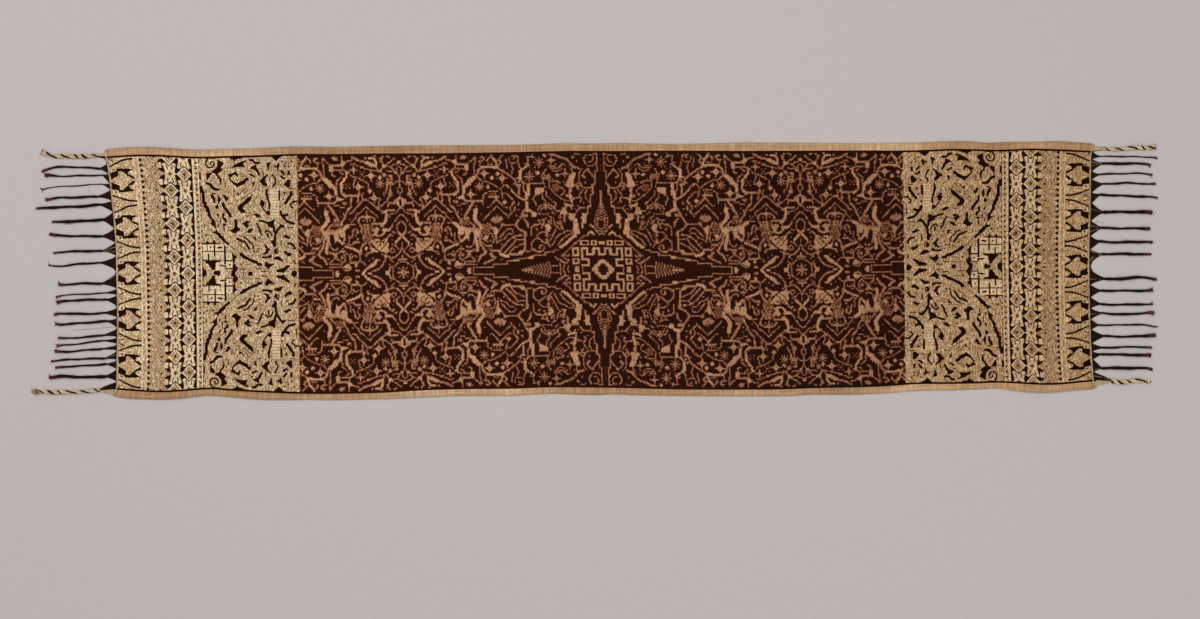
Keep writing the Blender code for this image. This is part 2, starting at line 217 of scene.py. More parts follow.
# The pattern is charted in units of one photograph pixel, about one tied bundle of threads. The sheet's
# faces hold two cells to the unit, six by six cells to a face, and each cell is one of four tones.
CELLS_PER_UNIT = 2
FACE_CELLS = 6
FACES_ALONG = 324
FACES_ACROSS = 79
BAND_FACES = 3
BLACK, RUST, TAN, BRIGHT = 0, 1, 2, 3
STAR_AT = 198.0  # the star's axis, in the quarter's own places
QUARTER_START = -6.0
HALF_WIDTH = FACES_ACROSS * FACE_CELLS / CELLS_PER_UNIT / 2
LEAST_REACH = 0.5  # half the width of the thinnest line that the chart can hold
LINE_TRIM = 0.25  # taken off each side of an ikat line, whose dye crept under the ties


class Chart:
    """Cells of tone. Places are in units from the start, and fine says how many cells a unit holds."""

    def __init__(self, length, width, fine, tone=BLACK, start=0.0):
        self.fine = fine
        self.trim = LINE_TRIM if fine == 1 else 0.0
        self.start = start
        self.cells = np.full((round(width * fine), round(length * fine)), tone, np.int8)

    def near(self, points, reach):
        """The cells round these points, with their places."""
        p, q = zip(*points)
        rows, cols = self.cells.shape
        low_row = min(max(int((min(q) - reach) * self.fine), 0), rows)
        high_row = max(min(int((max(q) + reach) * self.fine) + 2, rows), low_row)
        low_col = min(max(int((min(p) - reach - self.start) * self.fine), 0), cols)
        high_col = max(min(int((max(p) + reach - self.start) * self.fine) + 2, cols), low_col)
        q_here, p_here = np.mgrid[low_row:high_row, low_col:high_col]
        part = self.cells[low_row:high_row, low_col:high_col]
        return part, self.start + (p_here + 0.5) / self.fine, (q_here + 0.5) / self.fine


def line(chart, tone, width, *points):
    """A line of this width through the points."""
    reach = max(width / 2 - chart.trim, LEAST_REACH / chart.fine)
    for (p0, q0), (p1, q1) in zip(points, points[1:] or points):
        part, p, q = chart.near(((p0, q0), (p1, q1)), width)
        run = max((p1 - p0) ** 2 + (q1 - q0) ** 2, 1e-9)
        t = np.clip(((p - p0) * (p1 - p0) + (q - q0) * (q1 - q0)) / run, 0, 1)
        part[np.hypot(p - p0 - t * (p1 - p0), q - q0 - t * (q1 - q0)) <= reach] = tone


def shape(chart, tone, *points):
    """A filled outline."""
    part, p, q = chart.near(points, 1)
    inside = np.zeros(part.shape, bool)
    for (p0, q0), (p1, q1) in zip(points, points[1:] + points[:1]):
        if q0 != q1:
            crossed = (q0 > q) != (q1 > q)
            inside ^= crossed & (p < p0 + (q - q0) * (p1 - p0) / (q1 - q0))
    part[inside] = tone


def box(chart, tone, p0, p1, q0, q1):
    """A filled rectangle."""
    shape(chart, tone, (p0, q0), (p1, q0), (p1, q1), (p0, q1))


def dot(chart, tone, p, q, radius):
    line(chart, tone, 2 * radius, (p, q))


def lozenge(chart, tone, p, q, along, across):
    shape(chart, tone, (p - along, q), (p, q - across), (p + along, q), (p, q + across))


def worked(chart, *points):
    """An outline filled with small light marks on red-brown."""
    part, p, q = chart.near(points, 1)
    before = part.copy()
    shape(chart, RUST, *points)
    marks = (np.floor(p) + 2 * np.floor(q)) % 3 == 0
    part[(part != before) & marks] = TAN


def star_four(chart, p, q, size):
    """A small diamond with four thin rays and a dark eye."""
    p, q = math.floor(p) + 0.5, math.floor(q) + 0.5
    line(chart, TAN, 1.0, (p - size, q), (p + size, q))
    line(chart, TAN, 1.0, (p, q - size), (p, q + size))
    lozenge(chart, BRIGHT, p, q, 0.62 * size, 0.62 * size)
    dot(chart, RUST, p, q, 0.5)


def star_eight(chart, p, q, size):
    """A star of eight thin rays with a light heart and a dark eye."""
    p, q = math.floor(p) + 0.5, math.floor(q) + 0.5
    reach = 0.7 * size
    for side in (-1, 1):
        line(chart, TAN, 1.0, (p - reach, q - side * reach), (p + reach, q + side * reach))
    line(chart, TAN, 1.0, (p - size, q), (p + size, q))
    line(chart, TAN, 1.0, (p, q - size), (p, q + size))
    dot(chart, BRIGHT, p, q, 1.3)
    dot(chart, RUST, p, q, 0.5)


def faint_cross(chart, p, q):
    """A small cross of separate points."""
    size = 2.2
    line(chart, RUST, 1.0, (p - size, q), (p + size, q))
    for along in (-size, size):
        for across in (-size, size):
            dot(chart, TAN, p + along, q + across, 0.5)
    dot(chart, TAN, p, q, 0.5)


def frame_box(chart, p0, p1, q0, q1):
    """A light frame round a dark block."""
    wall = 1.5
    box(chart, BRIGHT, p0, p1, q0, q1)
    box(chart, BLACK, p0 + wall, p1 - wall, q0 + wall, q1 - wall)


# The charted quarter: lines by tone and width, then filled outlines by tone. p runs from the tree's axis to
# the star's axis, and q from the middle of the cloth out to the plain band.
STAR_LINES = (
    (TAN, 1.5, (68.5, 0), (68.5, 3.7), (88.2, 3.7), (88.5, 6.6), (102.5, 6.8), (103, 9.2), (114, 9.4),
     (115, 11.8), (128.5, 12.2), (129.5, 14.2), (141, 14.3), (141, 17), (149.3, 17.1), (150, 19.3),
     (154.8, 19.5)),
    (BRIGHT, 3.4, (125.5, 12.3), (128, 12.5)),
    (BRIGHT, 2.2, (110, 9.9), (113.5, 9.9)),
    (BRIGHT, 3.6, (157, 22.3), (161, 24.8), (164.8, 28.3), (168, 31.6), (171.5, 33.6)),
    (TAN, 1.5, (194.8, 118), (194.8, 98.2), (192.2, 98.2), (192.2, 85), (190, 85), (190, 74.6),
     (187.6, 74.3), (187.6, 63), (184.8, 63), (184.8, 55)),
    (TAN, 2.4, (178.7, 46.5), (178.6, 41.5)),
    (TAN, 1.4, (159.5, 15.5), (162.5, 17.3), (168.5, 23.4), (174, 28), (177.5, 31.3), (180, 33.3),
     (183.3, 33.4)),
    (TAN, 1.4, (186.3, 45), (189, 42.4), (192.3, 40)),
    (TAN, 2.0, (183.3, 34), (186.5, 37.5), (190, 34.5)),
)
STAR_SHAPES = (
    (BRIGHT, (178.8, 55.8), (184.9, 55.8), (182.8, 53.3), (182.8, 46.3), (178.8, 46), (178.5, 50.3),
     (176.8, 51.5), (178.6, 53)),
    (BRIGHT, (170.4, 50.7), (173.6, 50.5), (173.6, 48), (174.8, 45), (174.6, 40.5), (176.5, 38.5),
     (176.3, 35.2), (170.2, 35), (169.8, 38.2), (168.4, 41.3), (170.3, 43.3), (170.5, 46.5)),
)
MEDALLION_LINES = (
    (BRIGHT, 2.5, (177.6, 21.2), (177.6, 9.8), (183.9, 9.8), (183.9, 4), (177.4, 4)),
    (TAN, 1.0, (177.4, 3), (177.4, 0)),
    (BRIGHT, 2.5, (177.6, 21.2), (183.4, 21.2), (183.4, 14.6), (189.5, 14.6), (189.5, 21.2),
     (194.6, 21.2),
     (194.6, 14.6), (198, 14.6)),
)
MEDALLION_SHAPES = (
    (BRIGHT, (187.4, 0), (187.4, 2.4), (188.9, 2.4), (188.9, 3.9), (190.4, 3.9), (190.4, 5.4),
     (191.9, 5.4),
     (191.9, 7.4), (193.9, 7.4), (193.9, 8.9), (195.9, 8.9), (195.9, 10.4), (198, 10.4), (198, 6.3),
     (196.4, 6.3), (196.4, 4.8), (194.9, 4.8), (194.9, 3.3), (193.4, 3.3), (193.4, 0)),
)
FLAME_SHAPES = (
    (BLACK, (117.8, 0), (117.8, 1.4), (124, 1.4), (131.2, 3.6), (138, 6), (146, 8.6), (149.6, 7),
     (152, 5.6),
     (154.6, 5.6), (157, 7.4), (160, 5.4), (163.4, 4.2), (165.4, 1.8), (165.4, 0)),
    (BLACK, (198, 66), (196.4, 64), (195.2, 59), (193.2, 54), (190.8, 50.6), (191.6, 44), (193.6, 40),
     (196, 35.4), (198, 34.4)),
)
FLAME_LINES = (
    (TAN, 1.4, (151, 12.5), (153.5, 9.8), (157, 7.6), (160.5, 6)),
    (TAN, 1.5, (155.4, 10.4), (157.6, 8.4), (160, 7)),
    (TAN, 1.6, (157.5, 14.2), (159.6, 12.4), (161.2, 10.2), (164.5, 9.3), (162.8, 7), (160.5, 5.8)),
    (TAN, 1.5, (165, 14.8), (163.4, 12.8), (160.4, 14.6), (158.4, 13.4)),
    (TAN, 1.0, (117.8, 0.5), (128, 0.5)),
    (TAN, 1.4, (147.6, 3.6), (153.6, 3.6)),
    (BLACK, 1.6, (147.6, 0.4), (152.8, 0.4)),
    (TAN, 1.2, (155.8, 5.6), (155.8, 0)),
    (TAN, 1.4, (160, 4.6), (158.8, 2), (158.6, 0)),
    (TAN, 1.4, (163.6, 3.4), (162.8, 0)),
    (TAN, 1.0, (197.5, 78), (197.5, 62)),
    (TAN, 1.4, (194.6, 51.6), (194.6, 43.6)),
    (TAN, 1.2, (191.8, 49.4), (192.4, 43.6)),
    (TAN, 1.2, (193.6, 41.6), (198, 40.6)),
    (TAN, 1.2, (194.8, 38.6), (198, 37.6)),
    (TAN, 1.4, (196, 35.8), (198, 34.9)),
    (TAN, 1.3, (188.4, 44.6), (191.4, 40.4), (194.6, 36.6), (195.8, 34.4)),
    (BRIGHT, 2.4, (184.6, 35.4), (187.2, 37.6), (190, 35.6)),
)
GUARD_LINES = (  # the standing guard and its spiral, between the star's upper arm and the archer
    (TAN, 2.3, (147, 115.5), (150.5, 115.2), (154, 114.2), (158, 112.2), (161.5, 111.2), (164, 110),
     (166.8, 107.8), (169.6, 104.7), (171.6, 102.2), (174.5, 102), (176.5, 100.8)),
    (TAN, 1.3, (172.7, 115.5), (176, 115.8), (178, 114.2)),
    (TAN, 1.6, (183.6, 114.6), (182, 112), (181.7, 109), (183.2, 106), (185.5, 103.6), (190.5, 103.5),
     (192.5, 105.5), (194.2, 108)),
    (TAN, 1.5, (186.5, 114.6), (189.8, 114.2), (191.2, 112), (190.5, 109.4), (188.5, 107.7),
     (186, 107.2)),
    (TAN, 1.5, (191.5, 115.4), (194.5, 115.4)),
    (TAN, 2.0, (180, 93.5), (180.6, 96), (184.8, 100.4), (189.3, 95), (190.4, 92.4), (192, 92)),
    (TAN, 2.6, (181, 93.4), (182.3, 91.8)),
    (TAN, 1.4, (181.6, 81.5), (187.4, 81.5), (189.6, 83.7), (190.3, 85.5)),
    (TAN, 1.4, (181.6, 81.5), (178.3, 84), (176.8, 86.5), (176, 90), (176.2, 95), (177.8, 99),
     (179.4, 100.6)),
    (TAN, 1.6, (169.5, 104.5), (169.6, 97)),
    (TAN, 2.2, (167.3, 83), (167.2, 76)),
    (TAN, 2.0, (172, 84), (175, 86.6), (177.6, 86.2), (178.2, 84.2), (175, 83.2), (174.2, 81),
     (176.6, 80.2)),
    (TAN, 1.8, (146.8, 103.7), (152.5, 103.5)),
    (TAN, 1.3, (147.8, 101.5), (154, 101), (157, 102.5), (160, 105.5)),
    (TAN, 1.4, (149.2, 99.6), (154, 98), (157, 99.4), (160, 101.8)),
    (TAN, 1.3, (143.4, 101), (141.7, 98.8), (141, 96.4), (138.4, 93.6), (140.4, 91), (140.5, 88),
     (141.5, 86)),
    (TAN, 1.2, (141.5, 94.3), (145.7, 94.3)),
    (TAN, 1.2, (141.4, 92.2), (146.2, 92.2)),
    (TAN, 1.7, (146.4, 95), (147.4, 92), (146.5, 89), (146.5, 82)),
    (TAN, 1.9, (120.5, 86.8), (140, 86.8)),
    (TAN, 1.3, (148.5, 88.4), (154.5, 88.2), (157, 86.5)),
    (TAN, 1.3, (153.5, 85.6), (156.5, 82.6), (159.5, 81)),
    (TAN, 1.4, (148.3, 80.6), (150.3, 77.6), (153, 75), (155.5, 73.2), (158, 71), (160.8, 69.4),
     (163.5, 68.4), (166.5, 68.4)),
    (TAN, 1.4, (161.6, 80), (162, 78), (160.4, 76), (158.8, 74.4)),
    (TAN, 1.6, (132.6, 75), (130.5, 72.2), (130, 70.4), (131.6, 68.5), (132.6, 66.4), (132.6, 65)),
    (TAN, 1.5, (139.8, 75.8), (140, 71.2), (142.2, 69.6), (142.8, 68)),
    (TAN, 1.4, (143.5, 78), (144, 74), (146.2, 71.5), (149, 69), (151.6, 66.8), (153.3, 65.3),
     (151, 63.4), (151, 61), (153, 59.4)),
    (TAN, 1.8, (134.4, 60), (135.4, 62.6), (137.4, 64.2), (142.8, 64.6), (147.2, 64.3), (149.6, 62.9),
     (151.2, 60.6)),
    (TAN, 1.3, (142.8, 68.6), (142.8, 60)),
    (TAN, 1.2, (140, 66.8), (145.6, 61.6)),
    (TAN, 1.2, (145.6, 66.8), (140, 61.6)),
    (TAN, 1.2, (139.4, 62), (137.4, 60)),
    (TAN, 1.2, (146.4, 62), (148.4, 60)),
)
GUARD_SHAPES = (
    (BRIGHT, (169.4, 96.6), (172.5, 97), (173.5, 95), (171.6, 92), (171.3, 88), (170.5, 85.6),
     (172, 84.5),
     (171, 82.5), (169.5, 81.7), (166, 81.7), (163.2, 83.5), (163.5, 86), (165, 89), (166.5, 93),
     (168, 95.5)),
    (BRIGHT, (132, 82), (141, 82), (141, 78.4), (139, 77), (136, 75.6), (134, 74.6), (132.2, 73.8)),
    (RUST, (148.5, 85), (153.5, 84.4), (157.5, 80.5), (155.5, 77.6), (150, 80)),
    (RUST, (138.5, 96), (142, 96), (147.5, 94), (147, 90), (141, 90)),
)
KNEELER_LINES = (  # the small kneeling figure and the plants between the star's two arms
    (BRIGHT, 3.0, (167.4, 80), (167, 75.6), (168, 71.5), (169.2, 67)),
    (TAN, 2.6, (163.6, 74), (166.4, 72.4)),
    (TAN, 2.0, (175, 71.8), (170.5, 71)),
    (BRIGHT, 3.0, (161.8, 65.4), (164.4, 64), (168.6, 64)),
    (TAN, 2.2, (167.6, 64), (168.4, 60.6)),
    (TAN, 2.4, (163.4, 63), (160.6, 60.4), (159.2, 58.6)),
    (TAN, 1.5, (161, 54), (161, 46.6)),
    (TAN, 1.6, (163, 55.4), (171.6, 55.4)),
    (TAN, 1.4, (180.2, 79.6), (178, 76.6), (176, 73.6), (178.3, 71), (178.5, 69.4), (177.2, 67)),
    (TAN, 1.5, (184.8, 79.6), (182.8, 77.4), (182.7, 71.4), (184.8, 69.4), (187.5, 66.8)),
    (TAN, 1.4, (174.6, 63.6), (176, 62), (183, 61.8)),
    (TAN, 1.6, (176, 60.6), (174, 58.4), (172.3, 56.4)),
    (TAN, 1.5, (145.6, 53.6), (147.4, 52), (149.4, 51.6)),
    (TAN, 1.4, (147.4, 52), (147.4, 48.6)),
    (TAN, 1.9, (134.8, 49.2), (138.4, 49.2), (142, 51.4)),
    (TAN, 1.9, (140.8, 50), (140.2, 47), (139.4, 44.6)),
    (TAN, 1.6, (135.6, 49), (136.4, 46.6)),
    (TAN, 2.0, (144.6, 49), (146, 46.8), (148.4, 45.4)),
    (TAN, 1.3, (150.6, 49.6), (151.2, 46), (152.4, 43.4), (154.4, 42)),
    (TAN, 1.3, (153.4, 47.6), (155.4, 45), (159, 45.4)),
    (TAN, 2.0, (157.4, 44), (159, 41), (156.2, 40.4)),
    (TAN, 1.6, (129, 43.2), (131, 45.3), (138.6, 45.3), (138.6, 42.2), (136.8, 41)),
    (TAN, 1.4, (132.6, 41.4), (133.6, 39.4)),
    (TAN, 1.3, (135.6, 56.6), (138, 58.6)),
    (TAN, 1.5, (148.4, 57.6), (151.6, 55.6)),
    (TAN, 1.4, (148.3, 24.5), (150.5, 27.4), (151.6, 30.4), (153.6, 33.2), (156, 35.2), (159, 36),
     (161.4, 37.8), (164.5, 38.8), (168.5, 38.8)),
    (TAN, 1.4, (154.5, 24.5), (156, 27.2), (158.2, 29.7), (160.8, 31.7), (163.4, 33.7), (166, 35.2),
     (168.6, 36.6)),
    (TAN, 1.4, (145.5, 28), (147.2, 30.6), (149, 33.6), (149.3, 36.4)),
    (TAN, 1.4, (150.2, 36.6), (151.6, 38.8), (152.6, 41)),
    (TAN, 1.6, (127.6, 26.6), (130, 30), (133, 31.6), (136.6, 30), (139.2, 27.2), (144, 26.4),
     (146.2, 22.6)),
    (TAN, 2.5, (142.8, 42), (143, 34), (143, 27)),
    (TAN, 1.7, (135.6, 36.4), (137.6, 37.8), (141, 37.6)),
    (TAN, 1.6, (136, 25), (138.6, 24.6), (140.6, 22), (139.6, 19.4), (137, 18), (133, 18),
     (131.2, 19.2), (129.2, 21.8)),
)
KNEELER_SHAPES = (
    (BRIGHT, (159.4, 62), (163, 61), (163.8, 57), (163, 54.4), (161.4, 52.8), (160.4, 55), (157.4, 55.2),
     (156.6, 57.6), (153.4, 58), (153.2, 59.4), (158, 59.4)),
    (BRIGHT, (165, 55), (171.6, 55), (171.4, 50), (169, 48.8), (166.6, 49.6), (164.8, 51.6)),
    (BRIGHT, (141, 45.2), (144, 46), (147.2, 44), (147.6, 41), (145, 37.6), (141.4, 37.6), (142, 41)),
    (BRIGHT, (128, 60), (129.6, 57.2), (134.2, 57.4), (133, 54.4), (131, 52.8), (128, 52.8)),
    (RUST, (131.5, 36), (135, 37), (135.5, 32), (132.5, 31)),
)
ARCHER_LINES = (  # the figure in its domed shrine
    (TAN, 1.4, (71.3, 95), (71.4, 108)),
    (TAN, 1.7, (72.8, 113), (72.8, 106.6)),
    (TAN, 1.4, (66, 108.3), (70, 111.2), (72, 113.6)),
    (TAN, 2.4, (74, 94.6), (74.7, 99.4), (76.6, 101.6), (79.6, 103.6)),
    (BRIGHT, 2.8, (79, 103.6), (84, 103.8), (94, 103.6)),
    (TAN, 1.9, (95, 102.4), (98.4, 100.5), (101.2, 99.6), (103.6, 97.4), (106, 95.5), (108.2, 94.3),
     (110.3, 92.4), (112, 90.4), (112.9, 88), (114, 85.8)),
    (BRIGHT, 2.6, (93.5, 104.4), (94, 107), (92.6, 110), (91.2, 112.2), (89.4, 114)),
    (TAN, 2.0, (89.4, 114), (87, 113.5), (85, 111.6), (84.2, 109.8)),
    (TAN, 1.2, (86, 106.2), (89.5, 106.2)),
    (TAN, 1.8, (94.6, 110.8), (96.6, 110.8), (98.2, 109), (98, 107.4), (96, 105.8), (95.2, 104.6)),
    (TAN, 1.2, (96.5, 112), (98.6, 114), (100.6, 115.8)),
    (TAN, 2.0, (77.4, 104.4), (77.4, 110)),
    (TAN, 1.7, (76, 109.8), (79.5, 109.8), (81, 111.2), (81, 113.4)),
    (TAN, 1.4, (74.6, 95), (76, 92.5), (78, 90.5), (80.5, 89.5), (85, 88.8), (88.5, 87.5), (92, 85.4),
     (95, 83), (97, 81.4), (99, 83), (101, 85.4), (103, 86), (105.4, 84.4), (107.6, 82.6), (108.4, 80.8),
     (110.4, 78.4), (113, 75.8)),
    (TAN, 1.3, (103, 86), (104.8, 83.4), (106, 82.2)),
    (TAN, 1.5, (103.2, 112), (103.2, 107.5)),
    (TAN, 1.5, (104.4, 107), (105, 101.7)),
    (TAN, 1.4, (106.7, 113), (106.7, 109)),
    (TAN, 1.4, (109, 114.3), (112, 115), (115.4, 113.6), (115.9, 109.6), (114.4, 108.2)),
    (TAN, 1.3, (110, 111.4), (112.6, 113)),
    (TAN, 1.3, (107.3, 107.6), (112.6, 107.6)),
    (TAN, 1.5, (116.4, 107.6), (116.4, 104.4), (117.6, 102.8), (119.5, 101.3)),
    (TAN, 1.3, (109.4, 105.4), (109.2, 103.4)),
    (TAN, 1.4, (110.4, 102.4), (109.8, 98.4), (108.6, 96)),
    (BRIGHT, 3.0, (117.6, 91.4), (117.6, 99.6)),
    (BRIGHT, 2.4, (117.6, 98.6), (122, 102.4), (126, 105)),
    (TAN, 1.7, (125.8, 104.4), (125.7, 113)),
    (TAN, 1.5, (124, 113.3), (128.4, 113.4), (130.8, 115.8)),
    (TAN, 1.4, (128.4, 113.4), (131.8, 112.4)),
    (TAN, 1.4, (121.6, 106), (124.8, 106.3)),
    (TAN, 2.2, (115.8, 88), (118, 90.4), (120, 88.2), (121.4, 86.8)),
    (BRIGHT, 3.0, (125.5, 86), (125.5, 75)),
    (TAN, 1.7, (120.1, 85.4), (120.4, 79.6), (122.4, 78.4)),
    (TAN, 1.9, (116, 84.6), (116, 75.4)),
    (TAN, 1.7, (113.8, 85), (118, 85)),
    (TAN, 1.6, (112.6, 89), (113, 86.4)),
    (TAN, 2.0, (64, 69.8), (78.4, 69.8)),
    (TAN, 1.8, (83.6, 78), (81.4, 77.4), (79.8, 75.8), (80.8, 73.6), (79.4, 71.4), (79.4, 66.6)),
    (TAN, 1.3, (85, 79.2), (94.6, 79.2)),
    (TAN, 1.3, (84.8, 74), (95.6, 74)),
    (TAN, 1.1, (86.9, 77.2), (86.9, 75.8)),
    (TAN, 1.1, (89.8, 77.2), (89.8, 75.8)),
    (TAN, 1.1, (92.7, 77.2), (92.7, 75.8)),
    (TAN, 1.4, (103.5, 63), (101, 64), (98.5, 66), (96, 68.4), (92.9, 71.6), (90, 68.4), (88, 65.8),
     (86, 64), (83.4, 63)),
    (BRIGHT, 2.4, (92.9, 72.4), (92.9, 70.8)),
    (TAN, 1.3, (79, 50), (80.6, 52), (83.2, 54.6), (86.6, 58.4), (90, 61.6), (93.2, 64.8), (96.6, 61.4),
     (99.6, 58.6), (102.6, 56), (104.2, 54.8), (104.6, 52.2)),
    (TAN, 1.5, (104.8, 54.6), (107, 56.6), (109, 58.2), (106.6, 60.6), (106.2, 62.6), (108.2, 65.2),
     (110.8, 68.6)),
    (TAN, 1.8, (98.6, 79.4), (99, 76), (99.8, 72.8)),
    (TAN, 1.4, (100.6, 78), (102.6, 77), (105, 76.2), (106.6, 73.6), (109.2, 71.4), (110.8, 69)),
    (BRIGHT, 2.2, (108.6, 80), (111, 77.4), (113.6, 74.8), (116.4, 72.8), (118.6, 71.6), (121.6, 70)),
    (BRIGHT, 4.4, (123.5, 76), (123.5, 60)),
    (TAN, 2.4, (121.2, 60.6), (118.6, 56.6), (117, 53), (115, 50), (112.4, 46.6)),
    (BRIGHT, 3.0, (125.6, 60), (128.6, 57.4), (131, 56.6)),
    (TAN, 3.6, (120.6, 54.2), (122.6, 54.6)),
    (TAN, 1.6, (116.4, 53.2), (120, 53.4)),
    (TAN, 2.3, (120.4, 51), (122.4, 49), (124.2, 46.4), (124.5, 43.4)),
    (TAN, 1.9, (115.4, 67.6), (115, 65)),
    (TAN, 2.2, (111.2, 62.8), (110.8, 60)),
    (TAN, 2.4, (111, 68.4), (109, 66.2)),
    (BRIGHT, 4.4, (72.4, 61), (71.2, 56), (71.2, 52.4), (73.2, 48.6), (76.4, 45.6)),
    (TAN, 3.0, (76.4, 45.6), (78.8, 43.4)),
    (TAN, 1.6, (85.8, 47.4), (86.6, 44.6), (88.6, 43), (90.2, 41.4)),
    (TAN, 1.6, (94.4, 40), (96.6, 42.6), (98.4, 45.4), (101, 46.2)),
    (TAN, 1.7, (100, 45.9), (112, 45.9)),
    (TAN, 2.4, (111.6, 46), (113.6, 43), (116, 40.6), (119, 38.8), (122, 37.6), (122.4, 35)),
    (TAN, 1.5, (101, 39), (103.6, 41.5), (107.6, 41.5), (109.6, 38.4)),
    (TAN, 1.9, (127.7, 34.6), (127.7, 42), (130, 44.6), (133.6, 45.2)),
    (TAN, 2.6, (70, 69), (67.4, 65), (65, 60)),
    (TAN, 1.4, (67.4, 47.6), (70, 44.6), (72.6, 42.6)),
)
ARCHER_SHAPES = (
    (BRIGHT, (64, 84.4), (66.5, 84.8), (70.3, 90), (72.6, 92), (74.6, 94), (73.8, 95.4), (70, 95.2),
     (66.5, 92.6), (64, 91)),
    (BRIGHT, (90, 105), (95.4, 105.6), (97.6, 101.2), (95, 101.4), (90, 102.4)),
    (TAN, (86.6, 51), (89.8, 54), (92.2, 53), (93.1, 57.4), (94.2, 53.2), (96.6, 54.6), (99.9, 51),
     (97, 49.4), (95.2, 47.6), (93.3, 48.4), (91.4, 47.4), (89, 49)),
    (TAN, (66, 43.4), (70, 41.6), (73, 40.6), (76.6, 42.2), (77, 37.6), (70, 37.6), (66.2, 40.4)),
    (RUST, (70, 115), (73, 115.6), (74.6, 112), (72.4, 110.4), (70.6, 112)),
    (RUST, (78, 47), (86, 48), (88.4, 44), (86.6, 40), (84, 36.4), (78.4, 37)),
)
WING_LINES = (  # the feathered figure beside the star's long arm
    (TAN, 1.2, (60.5, 9.2), (70.6, 9.2)),
    (TAN, 1.2, (61, 6.7), (70.6, 6.7)),
    (RUST, 1.6, (61, 8), (70.6, 8)),
    (BRIGHT, 3.6, (69.6, 42), (71.6, 38), (71.4, 33), (72.6, 28), (73.6, 24), (73.2, 20.6)),
    (TAN, 2.6, (74.6, 36), (76, 33), (75.6, 28.6), (78, 25), (80.6, 20.4)),
    (TAN, 1.5, (64.6, 39), (65, 30)),
    (TAN, 1.4, (70.2, 30.4), (69.4, 26.6), (66.6, 23.8), (64, 23.4), (62.4, 25.4)),
    (TAN, 1.4, (77, 37), (78.4, 33.4), (80.6, 30.4), (84.6, 29.4)),
    (TAN, 1.5, (81, 25), (87.6, 25)),
    (TAN, 1.4, (78, 29), (81, 26)),
    (TAN, 1.4, (88, 36.6), (89.6, 33), (90, 30), (88, 27)),
    (BRIGHT, 3.0, (92.3, 42), (92.4, 38)),
    (TAN, 1.8, (92, 37), (92, 30)),
    (TAN, 1.6, (92.4, 28), (95.6, 30), (98.6, 31.2)),
    (TAN, 1.4, (95.4, 33), (98.6, 36), (101, 39), (103, 41)),
    (TAN, 1.4, (100.4, 31.4), (102, 34), (104, 36), (109, 36.4)),
    (TAN, 1.7, (96.4, 20.4), (99, 23.4), (101.5, 26), (103, 28.6), (106, 31), (109, 33.4), (112, 34.8),
     (118, 35)),
    (TAN, 1.7, (100.4, 18), (103, 20.6), (106, 23.6), (108.5, 26), (110.6, 29), (113, 30.6), (119, 30.8)),
    (TAN, 1.5, (105.4, 17), (107, 19.6), (109.6, 22.2), (111.4, 23.8), (113.4, 23.8), (116, 25.4),
     (119.4, 26.8)),
    (TAN, 1.2, (109, 33.4), (111, 32), (113, 30.6)),
    (TAN, 2.5, (121.3, 36), (121.3, 21.4), (118.4, 18.4)),
    (BRIGHT, 4.4, (116.4, 17.4), (117, 18)),
    (TAN, 1.5, (104, 16), (118, 16)),
    (TAN, 1.3, (96.4, 10.4), (99, 12.2)),
    (TAN, 2.5, (86, 20.6), (91, 20), (96, 20.4)),
    (TAN, 3.0, (86.6, 17), (88.2, 14.4), (91, 13.2)),
    (TAN, 2.2, (90, 12.4), (87, 10.2), (84, 9), (81, 8.2), (79.4, 7.2)),
    (TAN, 2.7, (80, 21), (82, 18.6), (79.4, 16.6), (76.4, 14.6), (75, 12), (74, 10)),
    (TAN, 2.5, (64, 17), (67, 19.6), (70, 21)),
    (TAN, 1.5, (66, 15), (69, 12.6), (71, 10.4)),
    (TAN, 2.0, (127.4, 27.6), (127.4, 20), (129.4, 20.4)),
    (TAN, 1.6, (122, 18.3), (125, 18.6)),
)
WING_SHAPES = (
    (BRIGHT, (95.5, 20.4), (97.5, 17.6), (100.5, 16.2), (105, 16.4), (104.6, 13), (100.5, 13.4),
     (97.4, 14.4), (95, 17)),
    (RUST, (80, 36), (86, 36.6), (86.4, 40), (80, 40.4)),
    (BRIGHT, (56.4, 27), (61, 31), (65.6, 36), (66.6, 40), (70, 42), (60, 42), (61.6, 36), (57.4, 31)),
)
